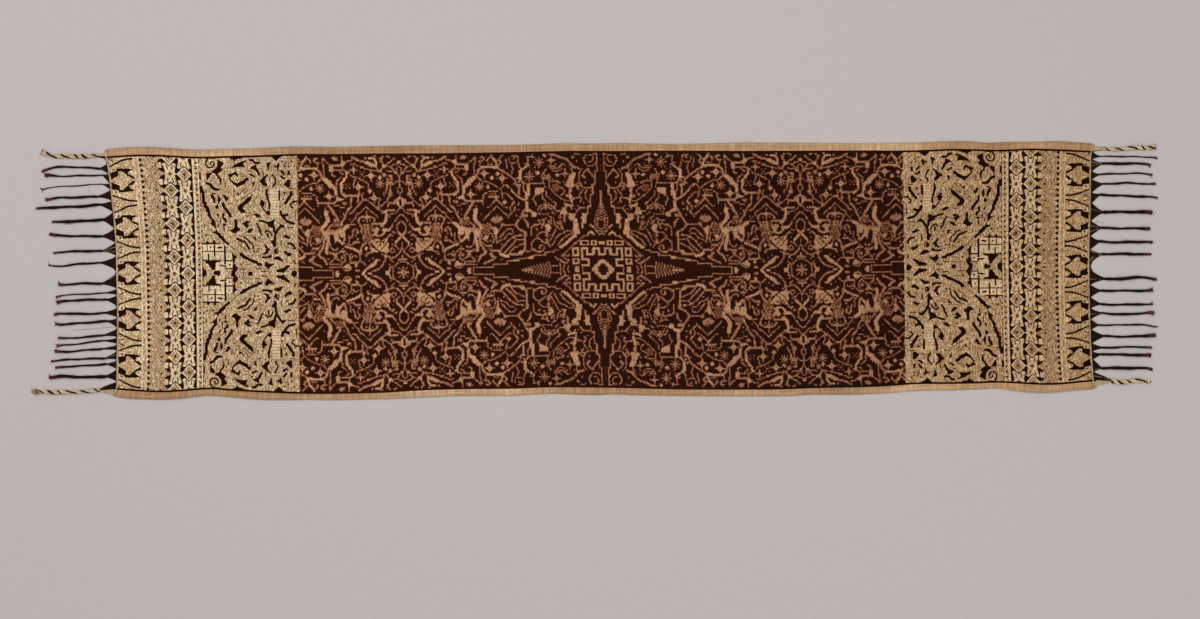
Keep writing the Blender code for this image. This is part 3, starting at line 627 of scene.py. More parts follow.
TREE_LINES = (  # the tree on the cloth's other axis, with the beasts beside it
    (TAN, 1.4, (-4, 105.8), (-5.6, 104), (-5.9, 99), (-4.8, 96.4), (-4, 94), (-4, 85)),
    (TAN, 1.4, (-4, 105.8), (-1.8, 104), (-1.6, 99), (-2.8, 96.4), (-4, 94)),
    (BRIGHT, 2.2, (-1, 99), (0.4, 99)),
    (TAN, 1.5, (0.4, 100), (6, 100.2), (8.6, 101.4)),
    (TAN, 1.6, (-2.4, 90.9), (-0.6, 90.9)),
    (TAN, 1.4, (0, 90), (1.6, 88.4), (3.6, 87.2)),
    (TAN, 1.5, (-4, 85), (-1.6, 83.8), (-1.5, 80), (-3.6, 78.6), (-3.6, 75)),
    (TAN, 1.4, (2.4, 68.7), (8, 68.7)),
    (TAN, 1.5, (-3.4, 64.4), (-1.4, 63.4), (0.2, 61.6)),
    (TAN, 1.5, (0.6, 113.8), (3, 111.8), (4.6, 110), (6.4, 109), (8.4, 107.6)),
    (TAN, 1.6, (-1.2, 107.8), (1.2, 107.4), (3, 106)),
    (TAN, 1.5, (0.6, 101.4), (2.8, 103.4), (4.2, 104.8)),
    (TAN, 2.0, (12.4, 108.4), (14, 111), (14.4, 113.6), (11.4, 115.6)),
    (TAN, 1.4, (14, 113.6), (16, 113.8)),
    (TAN, 1.7, (8, 115.8), (5.4, 114.2)),
    (TAN, 2.1, (12.4, 104), (14.6, 101.4), (17, 100.4)),
    (TAN, 1.7, (3, 106), (4.6, 105.2), (7.8, 105.2)),
    (TAN, 1.4, (12.6, 98.8), (14.6, 100.6)),
    (TAN, 1.8, (5.6, 88), (5.8, 84.6), (6, 80), (5.2, 78.4)),
    (BRIGHT, 2.4, (4.8, 78.2), (5.4, 77)),
    (TAN, 1.8, (7.6, 79), (7.6, 76.4), (6.4, 75.6), (8.4, 74), (9.8, 72.4), (9.4, 70.4)),
    (TAN, 1.7, (8.9, 89), (8.9, 83.4), (10.4, 81.6), (10.8, 80)),
    (TAN, 1.5, (12.4, 79.4), (12.4, 76.8)),
    (BRIGHT, 2.6, (19, 105.4), (19, 110), (20.6, 112.6), (22.2, 114.2), (26.4, 114)),
    (TAN, 2.4, (30.4, 110.4), (34, 111), (37.5, 112), (40.5, 113.6), (43.4, 115)),
    (TAN, 1.7, (43.6, 112), (47.4, 111), (49.6, 110)),
    (TAN, 1.8, (53.8, 116), (53.8, 111.6)),
    (TAN, 1.4, (17, 104), (17.3, 102)),
    (TAN, 1.8, (18, 101.2), (22, 101.3)),
    (TAN, 1.5, (23.4, 102.4), (26.2, 102.8)),
    (TAN, 1.5, (27.5, 103.8), (30.6, 104)),
    (TAN, 1.5, (31.5, 105), (35.2, 105)),
    (TAN, 1.5, (36, 106), (38.6, 106.4)),
    (TAN, 1.5, (39.6, 107.6), (41.6, 108.8), (43.4, 108.4), (44.6, 107)),
    (TAN, 1.6, (27.7, 85), (27.5, 88.4), (29.5, 90.3), (32, 91.7), (35, 93), (38, 94.5), (40, 95.5),
     (42.4, 95.8), (44.5, 97)),
    (TAN, 1.5, (39.4, 94.6), (41.3, 92), (41, 90), (43, 87.6), (42.6, 85.6), (40, 85)),
    (TAN, 2.4, (47, 99.8), (50.6, 101.8)),
    (BRIGHT, 2.7, (48.5, 100), (48.8, 97), (50, 94.6), (52.4, 92), (54.4, 90), (54.5, 85), (55.2, 80.6),
     (53, 78), (51, 76.4)),
    (TAN, 1.6, (51.8, 88), (54, 86.6)),
    (TAN, 1.5, (52.8, 107), (65.6, 107)),
    (TAN, 1.7, (52.8, 102.4), (63, 102.4)),
    (TAN, 1.4, (52.8, 102), (52.8, 107)),
    (TAN, 1.4, (52.8, 98.6), (55, 100), (57, 101.8)),
    (TAN, 1.4, (63.6, 100.6), (64, 98.6), (62.6, 97), (60.2, 96.9)),
    (TAN, 1.4, (54.4, 95.3), (57, 93.5), (59.6, 91)),
    (BRIGHT, 3.6, (70, 93.2), (66, 89.4), (62.6, 86.4), (61, 83), (60.5, 79)),
    (TAN, 1.9, (59, 89.4), (59.5, 86), (59.8, 75)),
    (TAN, 1.5, (36, 80), (36.6, 77)),
    (TAN, 1.5, (33, 79.6), (34.6, 77), (34.6, 73.4)),
    (TAN, 2.0, (37.4, 77.2), (50, 77.2), (53, 79), (55.4, 80.2)),
    (TAN, 1.8, (0, 69), (8.6, 69), (9.4, 66)),
    (TAN, 2.8, (0, 72), (2, 70.6)),
    (TAN, 1.4, (10.4, 71), (12.6, 69.4), (14.6, 67.4), (17.5, 66), (19.2, 64.4)),
    (TAN, 1.5, (16.4, 73.4), (18, 71), (18.6, 67.6), (20.4, 65)),
    (TAN, 1.8, (15, 60.4), (17, 62), (20.5, 64.2), (23.5, 66.6), (26.5, 69.6), (30, 73), (33.6, 73),
     (36.6, 70), (39.6, 67), (42, 65), (43.8, 63), (45, 60.6), (48, 59.4)),
    (TAN, 1.4, (20, 55), (22, 57.4), (25, 60), (28.5, 62.6), (31.8, 66.4), (35.4, 62.6), (38, 60),
     (40.6, 59), (42.3, 58), (42.6, 55), (45, 53), (47.4, 50.6)),
    (TAN, 1.5, (31.9, 61.2), (31.9, 50)),
    (TAN, 2.0, (24.2, 51.4), (24, 53), (25.6, 55), (28, 56), (36, 56), (38.6, 55), (40.3, 53),
     (40, 51.4)),
    (TAN, 1.4, (26.6, 50), (26.6, 45.6)),
    (TAN, 1.4, (31, 49.4), (31, 42.4)),
    (TAN, 1.4, (34.4, 48.6), (33.8, 44.4), (35.6, 42)),
    (TAN, 1.6, (39.4, 50), (38.6, 47.4), (37, 45), (38.4, 42), (37.4, 39.6)),
    (TAN, 1.7, (16.6, 49), (26, 49)),
    (TAN, 2.6, (4.4, 62), (8, 62), (11, 61.6), (15, 59.6)),
    (BRIGHT, 3.4, (12.4, 60.4), (11.4, 57), (12.6, 53), (13.4, 50), (15, 48), (17, 47.4)),
    (TAN, 1.5, (0.4, 60.2), (3.4, 59), (6.4, 58.2), (8.4, 57.4), (8.8, 55.4)),
    (TAN, 1.5, (-3, 58.2), (-1.2, 56.8), (0.8, 55), (2.4, 52.6), (3.8, 50.2)),
    (TAN, 1.8, (5.4, 48.6), (5.6, 46.4), (8, 44.8), (9.4, 43.4)),
    (BRIGHT, 3.0, (9.4, 42.8), (12, 42.4), (15.4, 42.6)),
    (TAN, 1.5, (15.8, 44), (16, 47)),
    (TAN, 1.8, (4, 39.2), (6.4, 40.6)),
    (TAN, 1.7, (-3, 51), (-1.2, 50), (0.4, 48.4), (1.6, 46.6), (1.6, 41.6), (0.4, 39.4)),
    (BRIGHT, 2.6, (0, 39.2), (-2.2, 37.2)),
    (TAN, 1.7, (41, 40), (41.6, 43), (43.6, 44.4), (46, 43), (46.2, 39.6)),
    (TAN, 2.2, (38, 79), (38.8, 75.6)),
    (TAN, 1.7, (38.8, 75.6), (39, 70)),
    (TAN, 2.0, (44.6, 77), (46.2, 73), (46.3, 66.4), (48, 65), (50, 63), (51.6, 60.4), (53, 57),
     (54.8, 53.6), (56.6, 51)),
    (TAN, 1.4, (51, 71.4), (50.8, 69.4), (52.4, 68)),
    (TAN, 1.4, (53.2, 70.6), (55, 69.6)),
    (TAN, 2.2, (62, 70.2), (66, 69.6), (70, 69.8)),
    (TAN, 1.4, (53.4, 65.2), (57.6, 65.5)),
    (TAN, 1.4, (58, 67.3), (63.6, 67.5)),
    (TAN, 2.7, (70, 68.6), (67, 65.4), (65.4, 62), (63.4, 58.4), (60.8, 54.8)),
    (TAN, 1.4, (60.4, 53), (64.6, 53)),
    (TAN, 1.6, (43.4, 48.6), (50, 48.6)),
    (BRIGHT, 4.2, (50.6, 47.6), (54, 45), (55.4, 42), (55.6, 38)),
    (TAN, 1.6, (57, 52), (57, 47)),
)
TREE_SHAPES = (
    (BRIGHT, (8, 108), (10.4, 107.4), (12.6, 108.6), (12.6, 104.4), (10, 104), (8.4, 106)),
    (TAN, (3.4, 97), (7, 97), (7.4, 95.4), (9.2, 93), (9.4, 88), (6, 86.6), (3.4, 88.4)),
    (BRIGHT, (-3.4, 74.8), (-0.4, 74), (2.6, 72), (1.2, 69), (-0.4, 66.2), (-2.4, 64.8), (-6, 65),
     (-6, 74)),
    (BRIGHT, (-5.6, 111.4), (-2, 111.4), (-2, 108.4), (-5.6, 108.4)),
    (BRIGHT, (18.6, 104.4), (19.4, 107.6), (22, 108.6), (25.5, 110.4), (29, 111.2), (31.6, 110.8),
     (30.4, 108.6), (26, 106.4), (22.4, 104.6)),
    (BRIGHT, (48.4, 110.4), (51.4, 111), (53.2, 112.4), (54.2, 110), (55, 108), (58, 107), (53, 105.8),
     (51, 107)),
    (BRIGHT, (62, 106), (65.8, 107), (65.8, 101), (63.6, 100.4), (62, 102)),
    (TAN, (57.2, 112.4), (58.6, 115), (61.4, 115.8), (64.4, 114.6), (62.4, 113.4), (61, 111.8)),
    (BRIGHT, (53, 73.6), (56, 74.2), (58.4, 76.2), (60.6, 76.2), (60.6, 73), (63.6, 71), (66, 69.6),
     (62, 70), (59, 72), (55, 72.2)),
    (TAN, (20, 43), (21.6, 46), (24, 45.2), (28, 44.6), (26.4, 42), (24, 40), (22, 39.4)),
    (TAN, (59, 43.6), (64, 42.4), (66, 43.6), (70, 43), (70, 38), (66, 39.6), (60, 40.4)),
    (RUST, (28, 49), (36, 49), (37, 30), (29, 29.4)),
    (RUST, (57, 53), (66, 51), (65.6, 46), (57, 45.4)),
)
ROSETTE_LINES = (  # the flower at the foot of the tree, on the cloth's middle line
    (TAN, 2.2, (15.6, 40), (17, 38.4), (19, 36.8), (21.6, 36.4), (23, 37.6), (26.2, 38)),
    (TAN, 2.0, (6.4, 36.4), (8.5, 38), (10.6, 36.4), (13, 33.6)),
    (TAN, 3.2, (13.4, 33), (17.4, 31.6)),
    (BRIGHT, 2.6, (-1.4, 35.6), (0.4, 33.6), (2, 32), (3.6, 30.8), (4.4, 29.4)),
    (TAN, 1.7, (4, 28), (4.6, 26.6), (6.6, 27.2), (7.6, 28.6)),
    (TAN, 1.5, (3.8, 27), (3.2, 25), (1.8, 23.6)),
    (TAN, 1.3, (-2.2, 31), (-2.2, 25)),
    (TAN, 1.6, (-2.2, 25), (-1.2, 23.4), (-0.4, 21.2), (1, 19.2), (2.6, 17.8), (4.6, 16)),
    (TAN, 2.4, (14, 29.2), (17.6, 27.6)),
    (BRIGHT, 3.6, (14, 20.6), (17.5, 23.2), (20.6, 26), (23.6, 28.4), (25.6, 29.4)),
    (TAN, 2.3, (21.6, 32.6), (27.4, 31.6)),
    (TAN, 2.2, (29, 21), (32.6, 20)),
    (TAN, 1.6, (5.2, 22.4), (8, 24.6), (10.2, 22), (9, 19.8), (6, 20.4)),
    (TAN, 2.2, (11.6, 23), (14, 20.6)),
    (TAN, 1.8, (4.6, 16), (6, 15.6), (8, 14.7), (9.4, 14.8), (11.4, 16), (13.4, 16.8), (15.6, 17.4),
     (18.4, 18.6)),
    (TAN, 1.8, (-1.9, 16.6), (-1.9, 13)),
    (TAN, 1.9, (-1.9, 12.8), (2.4, 12.8)),
    (TAN, 1.4, (7.4, 10.6), (9, 11.8), (11, 13.6)),
    (TAN, 1.8, (15.2, 18), (15, 15), (15.6, 12), (17.5, 9.4), (19.6, 6.6), (22, 4.6), (25, 3.1),
     (28.6, 2.5)),
    (TAN, 1.5, (35.4, 8.8), (37, 11), (40, 11.3)),
    (TAN, 1.9, (40.6, 20), (40.5, 12.4), (43, 10.8), (50, 10.8)),
    (TAN, 1.7, (50.8, 17.6), (50.8, 11.4)),
    (TAN, 1.3, (42.8, 16), (45, 18), (47.6, 17), (49.2, 15.2)),
    (TAN, 1.8, (50.6, 4.6), (54, 3), (57, 4), (59.6, 6.8), (61, 9)),
    (TAN, 1.7, (42.4, 3), (45.6, 3)),
    (TAN, 1.7, (56.2, 19), (55, 16), (55.5, 13.4), (57.6, 11), (58.6, 9.8)),
    (TAN, 1.8, (59.4, 12), (62, 13.6), (64.6, 15.2), (66.2, 16.6)),
    (TAN, 2.7, (62.6, 20), (65.6, 19), (68, 20), (70, 21)),
    (TAN, 1.8, (68.5, 0), (68.5, 3.7)),
    (TAN, 1.4, (-1.7, 10.4), (1, 10.4), (3.4, 9.2), (5, 7.8), (6.8, 6.6), (8.2, 5), (8.2, 0)),
    (TAN, 1.3, (8.6, 5.6), (10, 7), (11.2, 8.4)),
    (TAN, 1.8, (25.6, 2.7), (29.2, 2.7)),
    (BRIGHT, 1.8, (30.6, 0.6), (33.6, 0.6)),
    (TAN, 1.4, (32, 31), (31, 29), (29, 26.4), (28.4, 24.6)),
    (TAN, 1.6, (35, 30.4), (37.6, 27.6), (39, 25), (39, 21.6)),
    (TAN, 1.5, (40, 31), (45.6, 31), (47, 29.2), (49, 28.4), (52.2, 29.6)),
    (TAN, 1.5, (42, 35.4), (42, 33)),
    (TAN, 1.8, (46, 41.6), (46.6, 38), (48, 35.4)),
    (TAN, 1.4, (50.8, 38), (50.8, 31)),
    (TAN, 1.6, (42.4, 41), (43.4, 38)),
    (BRIGHT, 2.7, (41, 21), (43, 23), (45.6, 24.2), (48, 25), (51, 26), (54.2, 27.2)),
    (TAN, 2.0, (39, 19.6), (41, 20.6)),
    (TAN, 1.5, (48, 20), (50, 19), (51.4, 17.6)),
    (TAN, 1.5, (52, 19), (54, 20.4)),
    (TAN, 2.3, (55, 21.6), (60, 21.6)),
    (TAN, 2.4, (55.4, 42), (55, 36), (56, 30)),
    (TAN, 1.4, (70, 27), (67.6, 24.4), (65, 23.4), (62.4, 25.6)),
)
ROSETTE_SHAPES = (
    (BRIGHT, (10.4, 5.6), (11.6, 5.6), (12.8, 2.8), (14.4, 1.9), (16.5, 1.8), (16.5, 0), (12.2, 0),
     (11.4, 1.8)),
    (BRIGHT, (21.4, 21.2), (29.2, 21.2), (29.2, 23), (26.6, 25.4), (24.6, 24.6), (23, 22.6)),
    (BRIGHT, (20.4, 14), (25.4, 13.6), (27.4, 10.6), (30, 9.4), (32.6, 7), (35.6, 5.4), (38, 3), (40, 0),
     (37, 0), (35, 2.4), (31, 5.4), (27, 7), (24.4, 9.4), (23, 11.4), (21, 12)),
    (BRIGHT, (49.4, 5), (51.4, 9), (53, 10.6), (55, 8), (58.2, 7), (56, 5.4)),
    (BRIGHT, (43, 8.4), (44.6, 10), (46.6, 9.2), (45.6, 6.4), (44.4, 6.6)),
    (BRIGHT, (62.4, 0), (62.8, 2.4), (64.4, 3.4), (66, 2.4), (66.2, 0)),
)
MIDST_LINES = (  # the crowded plants between the tree, the shrine and the flower
    (BRIGHT, 2.2, (14.6, 40.6), (16, 38.6), (18, 37.2), (21, 36.8), (23, 38)),
    (BRIGHT, 2.0, (20.6, 33.2), (24, 33), (27, 32)),
    (TAN, 1.0, (26, 36.8), (27.8, 38.6), (29.6, 36.8), (27.8, 35), (26, 36.8)),
    (TAN, 1.0, (26, 32), (27.8, 33.8), (29.6, 32), (27.8, 30.2), (26, 32)),
    (TAN, 1.0, (30.2, 48.5), (30.2, 44)),
    (TAN, 1.0, (30, 41.5), (30.6, 39.4)),
    (TAN, 1.0, (34.3, 48), (35, 46.4), (33.3, 44.4), (33.5, 42)),
    (TAN, 1.0, (38, 47.6), (36.4, 45.4), (37, 43.4), (38.2, 41.4), (37, 39.8)),
    (TAN, 1.0, (33.4, 40.6), (34, 39), (35.4, 38), (35.4, 36.2), (37, 34)),
    (TAN, 1.2, (33.2, 31.6), (35, 29.2), (37, 27.6), (38.4, 25), (38.6, 22)),
    (TAN, 1.6, (30, 20.6), (33.4, 20.6)),
    (TAN, 1.0, (28.2, 27), (29.8, 24.6)),
    (TAN, 2.2, (58.4, 44.6), (61, 43.5), (65, 42), (68, 41.5), (72, 42.5), (76, 42.4)),
    (TAN, 1.8, (66, 49), (69, 46.5), (71.6, 44.4)),
    (BRIGHT, 3.0, (72, 51), (74, 48.4), (77, 46), (77, 42.6)),
    (BRIGHT, 2.0, (91, 43), (91, 37)),
    (TAN, 1.4, (61.6, 49.6), (61.6, 47)),
    (RUST, 1.0, (12, 31), (14.6, 28.6), (16, 26), (18.6, 24)),
    (RUST, 1.0, (18.6, 30.6), (20, 27.6), (22.6, 25.6)),
    (RUST, 1.0, (15, 32.6), (17, 29)),
    (RUST, 1.0, (20.6, 22), (22.6, 23.6), (25, 24)),
)
MIDST_SHAPES = (
    (BRIGHT, (11, 28), (12.5, 34), (17, 33), (17.5, 30.5), (21, 31), (23, 29.5), (27.5, 28.5),
     (25.5, 26.5),
     (24, 25), (22, 24), (20.5, 22), (17, 20.5), (15, 22), (13, 20.5), (11, 21.5), (12, 24), (11.5, 26)),
    (BRIGHT, (19.5, 43.5), (21, 45.5), (22.5, 45), (23, 43), (25.5, 43), (26.5, 41.5), (25, 40.5),
     (25.5, 38),
     (24, 36.5), (22.5, 38), (21.5, 39), (23, 41.5), (20.5, 42)),
    (BRIGHT, (57.5, 45), (60, 44.5), (60, 38), (59, 35.5), (57, 36)),
    (BRIGHT, (61.5, 40.5), (63, 39.5), (65, 38), (65, 32.5), (61, 32.5), (60, 34), (62.5, 36),
     (61.5, 38)),
    (BRIGHT, (69.8, 41), (73, 42), (77.5, 39.5), (77, 37.5), (75, 36.5), (74, 33), (70, 32.5)),
    (BRIGHT, (79.8, 34.6), (82.2, 35.8), (84.8, 34.6), (82.2, 33.4)),
)
EYES = (  # small dark marks left inside the light forms
    (14, 29), (17.5, 31), (19, 27.4), (22, 28.3), (22, 23), (16, 25), (24, 26.4), (72.5, 34.2),
    (75.4, 36.6),
    (23.6, 40), (13, 24), (64, 35.4), (58.4, 41),
    (124, 69.5), (124, 61), (129.3, 55), (122.3, 52.8), (165.4, 53.4), (169.8, 53.6), (168.6, 87),
    (22.8, 12.3), (11, 61.8), (93.3, 51.3), (162.5, 95), (67.4, 67.4), (171.5, 46.5), (53.4, 42.5),
)
DOTS = (  # place and radius
    (170.4, 112.4, 1.6), (174.7, 107.8, 1.0), (187, 90.2, 0.8), (182.5, 87.2, 1.0), (153.4, 105.5, 0.9),
    (156, 86.8, 1.2), (142.4, 83, 1.0), (150.5, 90.7, 0.9), (161, 87.6, 1.0), (161.5, 84.4, 0.8),
    (180.2, 66.2, 0.9), (178, 58, 0.8), (171.8, 60.6, 0.8), (136, 55.4, 0.8), (139, 55.4, 0.8),
    (142, 55.4, 0.8), (144.6, 56, 0.9), (166, 47, 0.9), (136, 22.6, 1.5), (171.6, 26, 1.5),
    (88.8, 115.8, 1.2), (78.6, 113.8, 1.4), (111, 86.6, 0.9), (114.5, 92, 1.5), (72.3, 65, 1.0),
    (76, 63, 0.9), (77.2, 56.4, 0.9), (115, 60.2, 0.9), (112.3, 55, 0.9), (70, 61.5, 0.7),
    (98.4, 46, 1.8), (80.6, 45, 0.8), (83.6, 45, 0.8), (86.4, 30, 0.9), (88.6, 22.4, 0.9),
    (84.6, 22.4, 0.8), (72, 14.6, 0.9), (71.6, 6.6, 0.9), (98, 26.4, 1.0), (130, 33, 0.9),
    (10.8, 97, 2.2), (29.6, 114.4, 1.2), (19.6, 116, 1.4), (5.4, 78, 2.0), (57.4, 61.6, 0.8),
    (57.8, 56.4, 0.8), (48.5, 53.6, 1.0), (54.4, 59, 0.9), (7.6, 32.4, 1.0), (27.2, 15, 1.0),
    (31.5, 12.3, 1.0), (33.8, 18, 1.3), (57, 24.2, 1.0), (58.6, 16, 1.8), (33, 25.5, 1.3),
    (34.8, 23.4, 0.9),
    (32, 37.4, 0.9), (30.8, 28.4, 0.9), (58.5, 48.4, 0.9), (87, 37.4, 0.8), (90, 40, 1.0),
    (28.8, 53, 0.9), (35, 52.6, 0.9), (147, 57, 0.9), (130, 113, 1.6), (7.4, 28.6, 0.9),
)
FOUR_STARS = (
    (148.2, 109, 3.7), (162.5, 95, 3.6), (81.8, 97, 5.2), (99, 92, 5.4), (67.5, 76.2, 5.2),
    (24.8, 96, 5.2), (37, 85.4, 5.0), (22.4, 74, 5.4), (41, 102.5, 3.6), (31.9, 55.4, 3.4),
)
EIGHT_STARS = ((-1.6, 0, 5.4), (136, 107.4, 5.0), (76.3, 84.8, 4.0), (126.3, 93.3, 5.0), (15.7, 88, 4.2))
DIAMONDS = (  # place, half length, half height
    (142, 114.4, 2.6, 1.7), (154.9, 94.8, 2.4, 1.8), (135, 97.2, 2.2, 2.3), (94.8, 97, 2.2, 2.4),
    (89, 93, 2.2, 2.4), (85, 83.7, 2.2, 2.4), (101.8, 68.5, 2.3, 2.4), (15.7, 94.6, 2.2, 2.2),
    (26.6, 81.3, 2.3, 2.4), (82.3, 33, 2.3, 2.3), (33.5, 25.2, 2.0, 2.2),
)
FAINT_CROSSES = ((165, 102.6), (130, 100.4), (33.5, 98), (48.5, 86.3), (144, 32), (88, 108.4))
SMALL_RINGS = ((156.3, 52.2, 1.8), (156.8, 47.6, 1.8), (53, 69.6, 1.6))
FRAMES = ((176.4, 185.2, 23.8, 29.2), (187.4, 192.6, 23.8, 29.2), (168.5, 174.6, 13.4, 22),
          (168.5, 174.6, 5.5, 11.4))
BLOCKS = ((195.3, 198, 24.6, 27.6), (170.4, 174.2, 0, 3.5))
TRUNK_GAP = ((-4.6, 72.6), (-2.4, 72.6), (-2.2, 66.4), (-4.6, 66.4))


def draw_motifs(chart, lines, shapes):
    """One group of figures: its filled outlines, then its lines. Red-brown outlines are worked ones."""
    for tone, *points in shapes:
        if tone == RUST:
            worked(chart, *points)
        else:
            shape(chart, tone, *points)
    for tone, width, *points in lines:
        line(chart, tone, width, *points)


def draw_flames(chart):
    """The two flames that end the star's arms, with slanting tiers in each."""
    draw_motifs(chart, FLAME_LINES, FLAME_SHAPES)
    for k in range(6):
        q = 64.5 - 2.7 * k
        line(chart, TAN, 1.0, (STAR_AT, q - 1.4), (196.2 - 0.9 * k, q + 0.8))
    for k in range(9):
        p = 121.5 + 2.9 * k
        line(chart, TAN, 1.0, (p + 1.4, 0), (p - 0.8, 1.8 + 0.75 * k))


def draw_boxes(chart):
    """The framed and plain blocks of the medallion, and small marks in the tree."""
    for q in (94, 91.4):
        line(chart, RUST, 0.9, (4.6, q), (8, q))
    shape(chart, BLACK, *TRUNK_GAP)
    for edges in FRAMES:
        frame_box(chart, *edges)
    for edges in BLOCKS:
        box(chart, BRIGHT, *edges)


def draw_small_marks(chart):
    """The stars, lozenges, rings and spots that stand between the larger motifs."""
    for p, q, radius in DOTS:
        dot(chart, TAN, p, q, radius)
    for p, q, size in FOUR_STARS:
        star_four(chart, p, q, size)
    for p, q, size in EIGHT_STARS:
        star_eight(chart, p, q, size)
    for p, q, along, across in DIAMONDS:
        lozenge(chart, BRIGHT, p, q, along, across)
    for p, q in FAINT_CROSSES:
        faint_cross(chart, p, q)
    for p, q, radius in SMALL_RINGS:
        dot(chart, TAN, p, q, radius)
        dot(chart, RUST, p, q, radius - 1.0)
    for p, q in EYES:
        dot(chart, RUST, p, q, 0.7)


def draw_quarter():
    """The quarter of the pattern between a tree's axis and a star's axis, above the middle line."""
    chart = Chart(STAR_AT - QUARTER_START, HALF_WIDTH, 1, start=QUARTER_START)
    for lines, shapes in (
        (ROSETTE_LINES, ROSETTE_SHAPES), (TREE_LINES, TREE_SHAPES), (WING_LINES, WING_SHAPES),
        (ARCHER_LINES, ARCHER_SHAPES), (KNEELER_LINES, KNEELER_SHAPES), (GUARD_LINES, GUARD_SHAPES),
        (STAR_LINES, STAR_SHAPES), (MEDALLION_LINES, MEDALLION_SHAPES), (MIDST_LINES, MIDST_SHAPES),
    ):
        draw_motifs(chart, lines, shapes)
    draw_flames(chart)
    draw_boxes(chart)
    draw_small_marks(chart)
    return chart


def beside(cells):
    """Whether a cell has one of these on any of its four sides."""
    near = np.zeros(cells.shape, bool)
    for row, col in ((0, 1), (0, -1), (1, 0), (-1, 0)):
        near |= np.roll(cells, (row, col), (0, 1))
    return near


def with_halo(cells):
    """Two cells to the unit, with red-brown where the dye has crept under the edges of the ties."""
    cells = np.kron(cells, np.ones((CELLS_PER_UNIT, CELLS_PER_UNIT), np.int8))
    cells[beside(cells >= TAN) & (cells == BLACK)] = RUST
    return cells


def with_uneven_dye(cells, rng):
    """Here and there a tied place took some dye, or stayed paler than the rest."""
    roll = rng.random(cells.shape)
    worn = cells.copy()
    worn[(cells >= TAN) & beside(cells < TAN) & (rng.random(cells.shape) < EDGE_SEEP)] = RUST
    worn[(worn == TAN) & (roll < PALE_SHARE)] = BRIGHT
    worn[(cells >= TAN) & (roll > 1 - SEEP_SHARE)] = RUST
    worn[(cells == RUST) & (roll > 1 - HALO_GAPS)] = BLACK
    return worn


